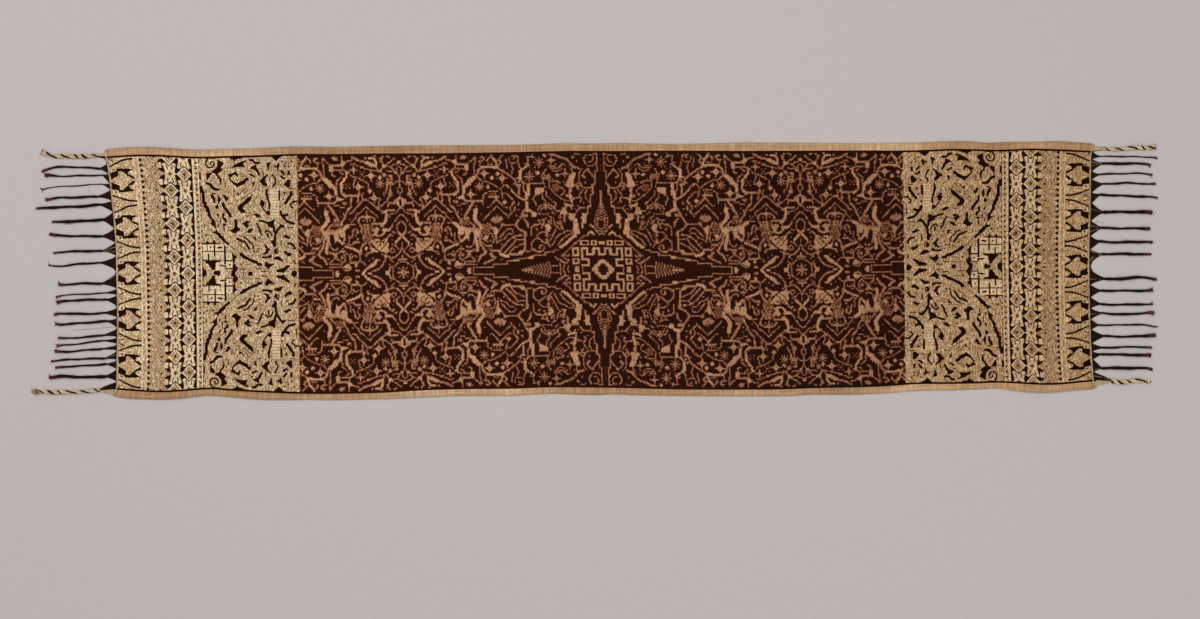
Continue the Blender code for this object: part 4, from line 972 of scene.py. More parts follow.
# The gold ends. Here a is the distance in from the woven end, and b the place across, from the middle line.
GOLD_DARK, GOLD_RED, GOLD, GOLD_BRIGHT = 0, 1, 2, 3
GOLD_LENGTH = 180.5
CROSS_PITCH = 16.65
CROSS_COUNT = 8  # lozenges of the lattice on each side of the middle one
LOZENGE_PITCH = 46.7
DOT_PITCH = 5.45
LATTICE_END = 50.7
COLUMNS = (57.2, 70.7)
COLUMNS_END = 77.6
PANEL_SHAPES = (  # dark gaps between the worked forms of the panel, in the half above the middle line
    ((103, 114.5), (105, 113.5), (108, 111.5), (107, 109.5), (105.5, 108), (105.5, 106), (107.5, 105),
     (105, 103), (103, 101.5), (101.5, 100.5), (98, 102), (97, 103.5), (100, 105), (102, 107.5),
     (103, 110)),
    ((92, 101), (96.5, 102), (95, 99), (93, 96), (92, 95)),
    ((95, 79.5), (97, 80.3), (98, 77), (99.3, 75), (99, 71), (98, 71.5), (97.5, 74.5), (95.5, 77)),
    ((102.3, 79), (103.5, 76.5), (104.2, 74), (102.5, 70.5), (102, 73)),
    ((98.8, 67.5), (101.8, 69.5), (102, 66), (100.3, 65.5)),
    ((106, 79.3), (109.5, 78.8), (110, 77), (112.3, 76.5), (110.5, 73.5), (109, 74.5), (108, 77)),
    ((115.5, 105.8), (118, 106.8), (121, 107.5), (124, 107.5), (128, 106.5), (126.5, 109), (126, 111),
     (129.5, 113), (128, 113.5), (124, 112), (121.5, 110.7), (118, 108.8)),
    ((112, 118), (113, 117), (117, 114.8), (118.3, 113), (119.5, 114.8), (125, 116), (126.6, 118)),
    ((112.3, 99.5), (113.5, 97), (115, 97.3), (117, 99.5), (119, 100), (121, 97.5), (121.5, 99.5),
     (120, 102),
     (118.5, 102.3), (117, 100.8)),
    ((114, 95.5), (114.6, 93.3), (117.5, 90), (121, 87), (123, 88.5), (128, 91), (128.6, 93), (131, 93.5),
     (130.8, 96.5), (128.5, 95.5), (126, 93.3), (121, 90.5), (117, 92)),
    ((120.3, 81), (121.5, 78.5), (123, 80)),
    ((134, 77.5), (131, 76.5), (127, 72.5), (123, 69), (121.2, 66.5), (121.5, 64.5), (124.5, 61.5),
     (128, 61),
     (127.5, 63), (125.3, 65), (125.3, 67), (128, 70), (133, 73.5)),
    ((133, 105.5), (136, 107.8), (139, 108.8), (139.3, 106), (141, 103.5), (142, 101), (143, 99),
     (142, 97.8),
     (140.5, 100.5), (138.5, 103.5), (136, 105)),
    ((135, 91), (137.5, 91.5), (135.5, 87.5)),
    ((153, 118), (156, 115.5), (158.5, 113), (159.5, 112.3), (162, 115), (167, 118)),
    ((149.3, 109.8), (152.9, 111), (152.8, 108.3), (151.8, 107), (152, 104), (151, 105)),
    ((157, 106.5), (160, 107.5), (162, 109.5), (162, 106.5), (160.8, 102.8), (160, 105.8)),
    ((163, 102.3), (165.5, 101.8), (167.3, 99.5), (167, 97.5), (165.8, 99)),
    ((163.3, 97), (164.8, 97.2), (166, 95.6), (168.8, 94.8), (166.5, 93.8), (164, 95.3)),
    ((171, 97.8), (172.8, 97.8), (172.8, 102), (171, 101.5)),
    ((166.8, 88.7), (169, 90.5), (171, 92.5), (172.7, 92.5), (172.7, 86), (170, 86), (168, 87.5)),
    ((151, 99), (149, 96.5), (147.3, 93.5), (148, 91.5), (150.3, 88.5), (149.5, 87.5), (146, 88.5),
     (144.3, 91),
     (142.5, 92), (144.5, 94), (147, 96.5), (149.5, 98.8)),
    ((148.4, 79), (149.6, 82.4), (150.6, 79), (151, 75.4), (149.6, 75.4)),
    ((166.3, 80.7), (167.8, 80.2), (167.5, 77.6)),
    ((143.5, 74), (145, 73.5), (147.5, 70.5), (146, 68), (144.5, 66.5), (142.5, 70), (143.5, 72)),
    ((147.6, 61.5), (152.3, 62.7), (152.3, 58.5), (150, 59.5)),
    ((136, 59.5), (139, 60.3), (142, 58.5), (143, 57.5), (141, 56.5), (139, 57.5)),
    ((91.5, 59.5), (94.5, 58.3), (95.3, 56), (98.8, 52.5), (98.8, 45.5), (97.5, 47.5), (95.3, 49.3),
     (93.3, 50.3), (96, 51), (95.5, 53.5), (93.3, 56.5)),
    ((96, 41.5), (99, 42), (100, 44), (100.5, 41), (103, 40.3), (105, 37.5), (106.5, 36), (108.5, 32.5),
     (110.5, 31.5), (112.3, 29.3), (110.5, 29), (108, 31), (105.5, 33.5), (102.5, 36), (100, 39.5),
     (97.5, 40.5)),
    ((106, 60.3), (107.8, 60), (107, 56.5), (109.5, 55), (110, 52.5), (109, 51), (107.8, 53.5),
     (106, 56)),
    ((106, 49), (107.5, 50), (109.5, 49.3), (107, 47.5)),
    ((111.8, 60), (114, 60.5), (114, 58), (115.5, 57.3), (112.5, 57)),
    ((113.5, 43.5), (116, 44.5), (117.5, 46.5), (118, 50), (117.8, 54), (119.5, 54), (119.8, 49.5),
     (120.5, 46.8), (123, 43.7), (120, 42.3), (118, 40.5), (116, 41)),
    ((125, 50), (128, 52), (129.5, 53), (132.5, 51.8), (129.8, 50.8), (129.5, 49.3), (131.5, 49),
     (129.5, 46),
     (127, 48.5)),
    ((129.3, 41.5), (131, 44), (135, 45.4), (134, 43), (131.5, 41)),
    ((88.5, 30.2), (90.3, 32.5), (92.3, 30.2)),
    ((95.5, 30.2), (96.8, 33), (98.3, 30.2)),
    ((88.5, 12.5), (102.7, 12.8), (102.7, 11.6), (98, 10.8), (97.5, 7), (97, 3.3), (94.3, 3.5), (93.5, 6),
     (92, 7), (91.3, 9.5), (89, 9.8)),
    ((96.5, 0), (96.8, 1.6), (101.5, 2), (102.6, 0)),
    ((85.5, 5), (87, 3), (88.3, 2.5), (89, 0), (85.3, 0)),
    ((114.5, 20.5), (117, 18), (119.5, 16.3), (117, 15.2), (117.3, 11.5), (116, 10.3), (115.5, 13),
     (115.3, 17)),
    ((115.5, 8), (117, 9.5), (118, 8), (120, 5.5), (119, 3.5), (117.5, 1.5), (117, 0), (114, 0),
     (114, 2.5),
     (116, 3.5), (115.3, 5.5)),
    ((130.6, 0), (130.6, 1.7), (134, 1.4), (134, 0)),
    ((149, 51.3), (153, 52), (156.3, 54), (156.3, 45), (153, 46.5), (150.5, 47.5)),
    ((152.6, 32.5), (155.5, 33), (156.5, 35.5), (158, 31), (157.8, 27), (155.5, 27.5), (155, 30)),
    ((155.8, 22.8), (157.5, 24.8), (158.8, 25), (158.8, 20), (157.3, 20)),
    ((135, 37), (137.5, 36.5), (138.3, 33.5), (136.8, 34.5)),
    ((146.5, 29), (148, 28.5), (149, 26.5), (151, 25), (152.5, 23.8), (150.5, 23), (150, 20.8),
     (147.5, 20),
     (145, 20), (147.5, 21.5), (148, 23.5), (148.5, 25.5), (147, 27)),
    ((144, 16.9), (150, 17), (152, 18.8), (153.5, 18), (153.8, 16.3), (148, 15.8), (144, 15.8)),
    ((155.5, 15.3), (158, 16.8), (161, 17), (163, 15), (165, 12.5), (162.5, 12.8), (160, 14.3),
     (157.5, 14.5)),
    ((147.5, 11.5), (149, 12), (150, 10), (152, 9.8), (156, 9.9), (152.5, 7.3), (150, 5),
     (148.8, 6.5), (147, 8)),
    ((158, 3), (160, 4), (163, 5), (166, 6), (169, 8), (171.5, 8), (170.5, 6.5), (168.5, 5), (167, 3.5),
     (166, 1.2), (162, 2), (159.5, 2)),
    ((173, 0), (174.3, 1.8), (176, 3), (178.3, 1.8), (178.3, 0)),
    ((165.5, 37), (168, 38.8), (169.5, 37.5), (172, 35.8), (172.5, 34.8), (170.5, 34.8), (168, 36)),
    ((166.2, 22.5), (167.5, 22.5), (169.5, 20.5), (172.5, 20.3), (174, 19.7), (172.5, 18.3),
     (171.3, 17.3),
     (168.5, 18.8), (167, 20.3)),
)
PANEL_LINES = (  # width and places of the panel's dark lines
    (2.4, (86.2, 87.4), (86.2, 83.4), (88, 82), (88, 72), (89.6, 71.6), (89.6, 67.6), (91.6, 66),
     (91.8, 63),
     (93, 62), (93, 58.6)),
    (1.3, (93.5, 115.8), (91.8, 113), (91.8, 109.5), (94, 107.2), (97, 107.2), (99, 109), (99.5, 111)),
    (1.2, (98.6, 112.6), (97, 113), (96.3, 112), (96.3, 110.4)),
    (1.0, (95, 116.9), (101, 116.9)),
    (1.5, (101.5, 100), (103, 97.5), (105, 95), (105, 92.8)),
    (2.1, (92, 91.3), (95, 90), (97, 87), (99, 85), (102.5, 84.7)),
    (1.2, (97, 80.6), (99.5, 80.9)),
    (2.0, (106.8, 70.5), (107.5, 67), (109, 65), (111, 62.5), (113, 59)),
    (1.0, (85.9, 102), (85.6, 95)),
    (1.2, (113.8, 97.2), (114, 95)),
    (1.8, (133, 113.8), (135, 114), (137, 112), (138.5, 110.5), (142, 111)),
    (1.5, (133, 99.5), (135, 98.5), (137, 97.3)),
    (1.4, (155.5, 98), (157, 96), (158.3, 94), (158.3, 91), (157, 88.5), (156, 87)),
    (1.5, (149.8, 83.8), (149.4, 79), (150.2, 75), (151.5, 72), (152.3, 69), (152, 65)),
    (1.3, (162, 82.5), (162, 74)),
    (2.2, (168, 70), (170, 72.5), (172, 75.5), (173.8, 78), (174, 80.5)),
    (1.3, (179, 71.5), (176, 71.5), (174.5, 69.5), (173, 68), (173.5, 66.5), (175, 65.5)),
    (1.0, (144.5, 67), (146, 64.5), (148, 62)),
    (2.2, (123.5, 19.5), (126, 17), (129, 15.5), (132, 13.8), (135, 12.5), (138, 11.5), (140, 9.8),
     (142.5, 9.3)),
    (1.7, (120, 35), (122, 34), (124, 32.8), (127, 32), (128.5, 29.5), (130, 27), (131.5, 25)),
    (1.2, (126, 36.8), (129, 35), (131, 32.5), (134, 30), (135.2, 28), (135.3, 25)),
    (1.6, (142.5, 53), (146, 52.3), (150, 50.5)),
    (1.8, (156.2, 46), (156.3, 42), (158, 40), (157, 37), (157.3, 34)),
    (2.0, (158.3, 40.5), (159.5, 43), (161.5, 45.5), (163.5, 48), (165.5, 47)),
    (1.3, (147.5, 41.5), (149, 43), (151, 42.5), (153, 41), (154, 38.5)),
    (1.6, (149.8, 39.8), (150.2, 36.8)),
    (1.4, (139, 50), (140.5, 47), (142, 44.5), (142, 42), (144, 39.5)),
    (1.0, (176, 13), (176.5, 10.5), (178, 10)),
    (1.8, (170.5, 30), (173, 30), (175, 28.5), (176.5, 26.5), (176.7, 25)),
    (1.9, (163, 61.5), (164.5, 57.5), (166.5, 55.5), (168, 53.5), (170, 51.5), (173, 50.5), (176, 49.8)),
    (1.9, (165.5, 57.5), (168, 58), (169.8, 58.6)),
    (1.1, (90, 31.5), (90, 22.4)),
    (1.3, (97.3, 32), (97.3, 17)),
    (1.1, (91.3, 19), (91.3, 12.5)),
    (1.2, (85, 29.7), (101, 29.7)),
    (1.1, (85, 13), (89, 13)),
    (1.2, (107.5, 27), (107.5, 10)),
    (1.5, (101, 25.6), (104, 26)),
    (1.3, (103, 7.8), (108, 7)),
    (1.2, (108, 12.8), (115.5, 12.8)),
    (1.0, (107.2, 46), (107.3, 43)),
    (1.2, (101, 60), (102, 57.6)),
)
PANEL_THREADS = (  # places of the fainter, thinner lines
    ((95, 92.5), (97, 95), (99, 96.5)), ((105, 92), (105, 89.5)), ((109.5, 93), (109.5, 87)),
    ((108, 96), (108.5, 94)), ((121, 79.5), (124, 80.5), (125, 83), (127.5, 85), (129, 85.5)),
    ((124, 74), (133, 81)), ((126, 79.5), (131, 84)), ((127.5, 73), (134, 78.4)),
    ((137, 84.8), (141.5, 84.5), (143, 82.5)), ((135, 69), (137.5, 71.5)), ((152, 96), (153, 92)),
    ((112, 28.5), (115, 26), (118, 23.5), (121, 21), (124, 19.3)),
    ((120.5, 38.5), (123, 38), (126, 36.8)),
    ((119.5, 31), (122, 29), (124, 27), (126, 25.3), (128.5, 23.8)), ((131, 21), (133.5, 21.4)),
    ((113, 37.5), (113.5, 34.5)), ((85, 22), (108, 22)), ((102.7, 18), (102.7, 13)),
    ((108, 5), (115, 5)), ((122.3, 2.5), (122.3, 0)), ((125.3, 2.8), (125.3, 0)), ((131, 4.5), (134, 5)),
    ((142, 36.5), (142, 34.5)), ((144, 32.5), (143, 31)), ((140, 18.5), (143, 18.3)),
    ((166.3, 29.5), (167, 28), (169, 26.5), (172, 25.5)), ((168, 13), (168.5, 10.5)),
    ((88, 50), (88, 46)), ((92.3, 45), (92.3, 43)), ((163, 67), (163.5, 66)),
    ((85.7, 91.5), (85.7, 89.6)), ((118, 4), (128, 4.6)), ((127, 9), (134, 10)), ((136, 24), (136, 21)),
    ((104, 56), (104, 49)), ((101.6, 50), (101.6, 46)), ((128, 58), (131, 58)), ((137, 5), (143, 5)),
    ((143, 2.4), (149, 2.4)), ((160, 26), (160, 20)), ((163, 33), (163, 27)), ((169, 46), (176, 46)),
    ((177.6, 62), (177.6, 54)), ((171, 84), (176, 84)), ((131, 103), (134, 103)),
    ((146, 103), (146, 97)), ((124, 97.6), (130, 98)), ((117, 78), (118, 76)), ((90, 86), (91, 83)),
)
PANEL_SPOTS = (  # small dark marks
    (118.3, 83), (112.3, 81), (120.3, 73), (115.5, 70.3), (134.8, 78.8), (139.3, 77), (165, 111.5),
    (168.5, 109.6),
    (167.8, 106.5), (172, 106), (174.7, 111.3), (93.5, 26), (108.3, 25.5), (111.3, 17.5), (112, 8.5),
    (127.8, 12.3), (123.5, 9.5), (139.5, 22.5), (140.8, 25.3), (133.3, 48.5), (163.4, 88), (163, 66.5),
    (166, 74), (89, 38.5), (95, 38), (104.4, 90.4),
)
PANEL_EDGE = 0.8
PANEL_WIDENING = 1.35  # the panel's dark lines against the widths charted for them
PANEL_LIGHTS = (  # the brighter blocks: from and to, in and across
    (85.6, 107, 14, 29), (98.6, 106.6, 3, 11), (102.8, 107, 0, 3), (108.6, 114.6, 13.6, 20),
    (108.6, 114.6, 5.6, 12), (152.8, 161.4, 56, 84),
)


def draw_gold_end():
    """The chart of one gold end, from the woven end inwards, with the middle line half way up."""
    chart = Chart(GOLD_LENGTH + 3, 2 * HALF_WIDTH, CELLS_PER_UNIT, GOLD)
    low = HALF_WIDTH
    for k in range(-3, 4):
        draw_lozenge_block(chart, low + k * LOZENGE_PITCH)
        draw_split_rays(chart, low + (k + 0.5) * LOZENGE_PITCH)
    draw_dotted_line(chart, low)
    draw_lattice(chart, low)
    draw_star_columns(chart, low)
    draw_inner_border(chart, low)
    for side in (-1, 1):
        draw_panel_half(chart, low, side)
    return chart


def beside_middle(points, b, side):
    """Places on one side of a motif's middle line, which lies at b across the cloth."""
    return [(a, b + side * across) for a, across in points]


def draw_dotted_line(chart, low):
    """Two bright lines and a row of dark blocks, each with a small tail."""
    for a in (24.5, 28.5):
        line(chart, GOLD_BRIGHT, 0.9, (a, 0), (a, 2 * low))
    for k in range(round(2 * low / DOT_PITCH)):
        b = (k + 0.5) * DOT_PITCH
        shape(chart, GOLD_DARK, (29.6, b - 1.5), (31.9, b - 1.3), (31.9, b + 1.5), (29.6, b + 1.6))
        line(chart, GOLD_DARK, 0.7, (31.9, b + 0.3), (33.8, b + 0.1))


LOZENGE_GAPS = (  # the dark round each shouldered lozenge
    ((1, 1.2), (0.6, 8.4), (6.5, 9.8), (8.4, 9.2), (8.4, 5)),
    ((6.5, 9), (7.2, 12), (15, 11.8), (23.4, 10.8), (20, 9), (18, 7.3), (16.6, 5), (14.5, 7), (11.5, 9.4)),
    ((15.8, 6.8), (16.8, 4.4), (20, 2.2), (23.6, 0.6), (23.6, 3.1), (20, 4.8)),
)
LOZENGE_WEDGE = ((18.4, 8.6), (23.2, 4.2), (23.2, 9.4))
LOZENGE_HOOK = ((1.6, 9.8), (2.6, 12.8), (5, 13.2), (6.6, 11.8))


def draw_lozenge_block(chart, b):
    """A shouldered lozenge on dark, with curled hooks outside it and small wedges inside."""
    for side in (-1, 1):
        for gap in LOZENGE_GAPS:
            shape(chart, GOLD_DARK, *beside_middle(gap, b, side))
        shape(chart, GOLD_BRIGHT, *beside_middle(LOZENGE_WEDGE, b, side))
        line(chart, GOLD_BRIGHT, 1.0, *beside_middle(LOZENGE_HOOK, b, side))
        dot(chart, GOLD_DARK, 4.5, b + side * 11.3, 0.9)


SPLIT_RAYS = (  # tone, width and places
    (GOLD_DARK, 1.5, (1, 8.6), (5, 7), (8.4, 5.6)),
    (GOLD_DARK, 2.0, (8.4, 5.6), (13, 3.6), (17.5, 2.6), (23, 2.1)),
    (GOLD_RED, 0.8, (1.6, 0.8), (3, 2.2), (5.4, 3.2)),
)


def draw_split_rays(chart, b):
    """Two dark lines that close towards the panel, with small barbs near the woven end."""
    for side in (-1, 1):
        for tone, width, *points in SPLIT_RAYS:
            line(chart, tone, width, *beside_middle(points, b, side))
        dot(chart, GOLD_DARK, 4.6, b + side * 3, 0.8)


def dotted_lozenge(chart, a, b, along, across, tone, count):
    """A lozenge of dots, this many to a side."""
    for corner in range(4):
        for step in range(count):
            t = step / count
            u, v = ((1 - t, t), (-t, 1 - t), (t - 1, -t), (t, t - 1))[corner]
            dot(chart, tone, a + along * u, b + across * v, 0.5)


LATTICE_NOTCH = ((46.4, 3), (50, 7), (51.6, 5), (51.4, 2.8))


def draw_lattice(chart, low):
    """A dotted net of lozenges with red crosses, its inner edge cut into points."""
    for k in range(-CROSS_COUNT, CROSS_COUNT + 1):
        b = low + k * CROSS_PITCH
        dotted_lozenge(chart, 43.4, b, 7.4, 8.3, GOLD_DARK, 7)
        dotted_lozenge(chart, 43.6, b, 4.2, 4.8, GOLD_RED, 4)
        dotted_lozenge(chart, 36.4, b + CROSS_PITCH / 2, 4.2, 5, GOLD_RED, 4)
        line(chart, GOLD_RED, 1.2, (42.2, b), (45, b))
        line(chart, GOLD_RED, 1.2, (43.6, b - 1.5), (43.6, b + 1.5))
        middle = b + CROSS_PITCH / 2
        for side in (-1, 1):
            shape(chart, GOLD_DARK, *beside_middle(LATTICE_NOTCH, middle, side))
        line(chart, GOLD_DARK, 1.0, (LATTICE_END, middle - 4), (LATTICE_END, middle + 4))
        box(chart, GOLD_BRIGHT, 47, 50, middle - 2.6, middle + 2.6)


def draw_star_columns(chart, low):
    """Two columns in which diamonds and four-petalled stars take turns."""
    box(chart, GOLD_DARK, LATTICE_END + 0.2, COLUMNS_END + 0.8, 0, 2 * low)
    for column, a in enumerate(COLUMNS):
        for k in range(-CROSS_COUNT, CROSS_COUNT + 1):
            draw = draw_diamond if (k + column) % 2 else draw_petals
            draw(chart, a, low + k * CROSS_PITCH)


def draw_diamond(chart, a, b):
    """A bright-edged lozenge with a dotted inner one and a red cross."""
    lozenge(chart, GOLD_BRIGHT, a, b, 7.1, 8.3)
    lozenge(chart, GOLD, a, b, 5.6, 6.6)
    dotted_lozenge(chart, a, b, 4.0, 4.8, GOLD_RED, 4)
    line(chart, GOLD_RED, 1.2, (a - 1.5, b), (a + 1.5, b))
    line(chart, GOLD_RED, 1.2, (a, b - 1.6), (a, b + 1.6))


PETAL = ((0, 0), (4.4, 0.8), (4.7, 3.6), (5.6, 7), (6.4, 10), (4.6, 11), (3, 10.2), (1.6, 8.6), (0, 7.8))


def draw_petals(chart, a, b):
    """A star of four forked petals round a small lozenge."""
    lozenge(chart, GOLD_BRIGHT, a, b, 7.1, 2.6)
    for side in (-1, 1):
        for along in (-1, 1):
            shape(chart, GOLD_BRIGHT, *((a + along * u, b + side * v) for u, v in PETAL))
            line(chart, GOLD_DARK, 1.0, (a + along * 1.9, b + side * 4.4), (a + along * 2.9, b + side * 8.4))
            line(chart, GOLD, 0.8, (a + along * 4.2, b + side * 2), (a + along * 5, b + side * 8.8))
        line(chart, GOLD_DARK, 1.2, (a, b + side * 9.4), (a, b + side * 8.4))
    lozenge(chart, GOLD, a, b, 3, 3.4)
    lozenge(chart, GOLD_RED, a, b, 1.7, 1.9)


def draw_inner_border(chart, low):
    """Two pale lines with dark wedges between them."""
    box(chart, GOLD_BRIGHT, 78.6, 80.4, 0, 2 * low)
    box(chart, GOLD_BRIGHT, 83.3, 84.6, 0, 2 * low)
    for k in range(round(2 * low / DOT_PITCH)):
        b = (k + 0.3) * DOT_PITCH
        shape(chart, GOLD_DARK, (80.4, b), (83, b + 1.5), (83, b - 1.2))
        line(chart, GOLD_RED, 0.8, (85, b), (85, b + 2.6))


def draw_panel_half(chart, low, side):
    """The figures of the panel on one side of the middle line."""
    for a0, a1, b0, b1 in PANEL_LIGHTS:
        box(chart, GOLD_BRIGHT, a0, a1, low + side * b0, low + side * b1)
    for b in range(58, 84, 3):
        line(chart, GOLD, PANEL_EDGE, *beside_middle(((153.4, b), (161, b)), low, side))
    for points in PANEL_THREADS:
        line(chart, GOLD_DARK, 0.7, *beside_middle(points, low, side))
    for points in PANEL_SHAPES:
        places = beside_middle(points, low, side)
        shape(chart, GOLD_DARK, *places)
        line(chart, GOLD_DARK, PANEL_EDGE, *places, places[0])
    for width, *points in PANEL_LINES:
        line(chart, GOLD_DARK, PANEL_WIDENING * width, *beside_middle(points, low, side))
    for a, b in PANEL_SPOTS:
        dot(chart, GOLD_DARK, a, low + side * b, 0.8)


PATTERN_SEED = 7
PAINTED_GLINT_SHARE = 0.36  # share of the plain gold painted brighter, as glints where the thread catches the light
SPECKLE_LATTICE = 0.08  # share of dark binding points in the outer bands
SPECKLE_PANEL = 0.17  # and in the panel
DULL_SHARE = 0.2  # of the bright forms
PLAIN_RUN, BRIGHT_RUN = 4, 3  # cells across the cloth that a gold thread shows at a time


def in_runs(rng, cells, length):
    """Random values that stay the same for a short run across the cloth, as a gold thread shows."""
    rows, cols = cells.shape
    return np.repeat(rng.random((rows // length + 1, cols)), length, axis=0)[:rows]


def with_speckle(cells, rng):
    """Scattered dark binding points, and painted glints: short runs of the gold thread made brighter where
    they catch the light.
    """
    in_lattice = np.arange(cells.shape[1]) < LATTICE_END * CELLS_PER_UNIT
    share = np.where(in_lattice, SPECKLE_LATTICE, SPECKLE_PANEL)
    speckled = cells.copy()
    plain = cells == GOLD
    # painted highlight: runs of plain gold are turned to the brightest tone as glints of the thread
    speckled[plain & (in_runs(rng, cells, PLAIN_RUN) < PAINTED_GLINT_SHARE)] = GOLD_BRIGHT
    speckled[plain & (rng.random(cells.shape) < share)] = GOLD_RED
    speckled[(cells == GOLD_BRIGHT) & (in_runs(rng, cells, BRIGHT_RUN) < DULL_SHARE)] = GOLD
    return speckled


CENTRE_X = 603.0  # the photograph's column at the cloth's middle, in the table's frame
# The pattern's axes, as places along the cloth in units at rows from south to north. They bend a little,
# because the tied threads shifted before they were woven.
WEST_TREE_AXIS = (
    (-118, 404), (-60, 403.4), (0, 403.1), (45, 402.1), (72, 401.1), (100, 399.8), (118, 399.7)
)
STAR_AXIS = ((-118, 604), (-20, 603.5), (0, 602.9), (30, 602.1), (60, 601.7), (95, 601.3), (118, 601.1))
EAST_TREE_AXIS = ((-118, 803), (-60, 802.1), (0, 801.4), (60, 801), (118, 801))
TREE_AT = ((0, -1.6), (25, -2.2), (50, -3), (60, -3.1), (72, -3.4), (85, -3.8), (118, -3.8))
DYE_SLIP = 0.28  # how far a bundle of threads may slip in the dyeing, in units
WEFT_SLIP = DYE_SLIP * 0.6
PALE_SHARE = 0.25  # tan cells that stayed paler
DARK_EDGE = 1.9  # the dark warp between the pattern and the plain band, in units
SEEP_SHARE = 0.03  # tied cells that took some dye
EDGE_SEEP = 0.22  # and of those on an edge
HALO_GAPS = 0.15  # red-brown cells that the dark dye covered
WANDER = 41  # bundles over which a slip is averaged
WANDER_SIZE = 4.0


def slip(rng, count, size):
    """A slow random wander with a little jitter, one value for each bundle of threads."""
    steps = rng.normal(0, 1, count + WANDER - 1)
    wander = np.convolve(steps, np.ones(WANDER) / WANDER, "valid") * WANDER_SIZE
    return size * (wander + rng.uniform(-1, 1, count))


def on_axis(table, q):
    """Where a bending axis stands at these rows."""
    places, values = zip(*table)
    return np.interp(q, places, values)


def quarter_places(x, q):
    """Where these places of the cloth lie in the charted quarter, which is folded about every axis."""
    west, star, east = (on_axis(table, q) for table in (WEST_TREE_AXIS, STAR_AXIS, EAST_TREE_AXIS))
    tree_at = on_axis(TREE_AT, np.abs(q))
    axes = (2 * west - star, west, star, east, 2 * east - star)
    places = (np.full_like(q, STAR_AT), tree_at, np.full_like(q, STAR_AT), tree_at, np.full_like(q, STAR_AT))
    p = np.zeros_like(x)
    for i in range(4):
        share = (x - axes[i]) / (axes[i + 1] - axes[i])
        here = (share >= 0) & (share < 1)
        p[here] = (places[i] + (places[i + 1] - places[i]) * share)[here]
    return p


def ikat_cells(x, q, rng):
    """The ikat at these columns and rows of cells."""
    quarter = with_halo(draw_quarter().cells)
    x_here = x[None, :] + slip(rng, len(q), DYE_SLIP)[:, None]
    q_here = q[:, None] + slip(rng, len(x), WEFT_SLIP)[None, :]
    p_here = quarter_places(x_here, q_here)
    col = ((p_here - QUARTER_START) * CELLS_PER_UNIT).astype(int)
    row = (np.abs(q_here) * CELLS_PER_UNIT).astype(int)
    cells = quarter[np.clip(row, 0, quarter.shape[0] - 1), np.clip(col, 0, quarter.shape[1] - 1)]
    return with_uneven_dye(cells, rng)


def whole_chart():
    """The chart of the whole cloth, from the west end to the east, as rows from south to north."""
    rng = np.random.default_rng(PATTERN_SEED)
    rows, cols = FACES_ACROSS * FACE_CELLS, FACES_ALONG * FACE_CELLS
    cell = (EAST_BASE - WEST_BASE) / cols
    along = WEST_BASE + (np.arange(cols) + 0.5) * cell
    q = (np.arange(rows) + 0.5) / CELLS_PER_UNIT - HALF_WIDTH
    cells = ikat_cells(CENTRE_X + along / PIXEL, q, rng)
    edge = np.abs(q) > HALF_WIDTH - DARK_EDGE
    cells[edge] = BLACK
    gold = with_speckle(draw_gold_end().cells, rng)
    for start, stop, turned in ((WEST_BASE, GOLD_WEST, gold), (EAST_BASE, GOLD_EAST, gold[::-1])):
        a = (along - start) / (stop - start) * GOLD_LENGTH
        here = np.where((a >= 0) & (a < GOLD_LENGTH))[0]
        source = np.clip((a[here] * CELLS_PER_UNIT).astype(int), 0, gold.shape[1] - 1)
        cells[:, here] = turned[:, source]
        cells[np.ix_(edge, here)] = GOLD_DARK
    return cells


def packed_faces(chart):
    """The chart's six by six cells for each face, two rows of cells to a number."""
    blocks = chart.reshape(FACES_ACROSS, FACE_CELLS, FACES_ALONG, FACE_CELLS).transpose(2, 0, 1, 3)
    pairs = blocks.reshape(FACES_ALONG, FACES_ACROSS, 3, 2 * FACE_CELLS).astype(np.int64)
    return (pairs * 4 ** np.arange(2 * FACE_CELLS)).sum(axis=3).astype(np.float32)


RIPPLES = (  # faint waves left by folding and handling: height, wave lengths along and across, phase
    (0.22, 310, 900, 0.4), (0.16, 170, -420, 1.9), (0.12, -95, 260, 3.3), (0.10, 66, 150, 5.0)
)


def ripple_at(along, across):
    """The height of the faint waves here, which is never below zero."""
    height = sum(h for h, _, _, _ in RIPPLES)
    for size, long, wide, phase in RIPPLES:
        height += size * math.sin(2 * math.pi * (along / long + across / wide) + phase)
    return height / 2


def cross_row(station):
    """Places across at this station from south to north, each with the cloth's lift there."""
    south, south_band = smooth(SOUTH_EDGE, station, 1), smooth(SOUTH_EDGE, station, 2)
    north, north_band = smooth(NORTH_EDGE, station, 1), smooth(NORTH_EDGE, station, 2)
    south_lift, north_lift = lift_at(SOUTH_COCKLES, station), lift_at(NORTH_COCKLES, station)
    row = []
    for i in range(BAND_FACES):
        t = i / BAND_FACES
        row.append((south + (south_band - south) * t, south_lift * (1 + (BAND_LIFT - 1) * t)))
    for i in range(FACES_ACROSS + 1):
        across = south_band + (north_band - south_band) * i / FACES_ACROSS
        near_south = max(0.0, 1 - (across - south_band) / COCKLE_REACH)
        near_north = max(0.0, 1 - (north_band - across) / COCKLE_REACH)
        row.append((across, BAND_LIFT * (south_lift * near_south**1.5 + north_lift * near_north**1.5)))
    for i in range(1, BAND_FACES + 1):
        t = i / BAND_FACES
        row.append((north_band + (north - north_band) * t, north_lift * (BAND_LIFT + (1 - BAND_LIFT) * t)))
    return row


def new_object(name, vertices, faces, materials, smooth_shading=True):
    """A mesh object, linked to the scene."""
    mesh = bpy.data.meshes.new(name)
    mesh.from_pydata(vertices, [], faces)
    for material in materials:
        mesh.materials.append(material)
    if smooth_shading:
        mesh.shade_smooth()
    thing = bpy.data.objects.new(name, mesh)
    bpy.context.scene.collection.objects.link(thing)
    return thing


def stations_of(count):
    """The cloth's stations when it is cut in this many steps from west to east."""
    return [WEST_BASE + (EAST_BASE - WEST_BASE) * i / count for i in range(count + 1)]


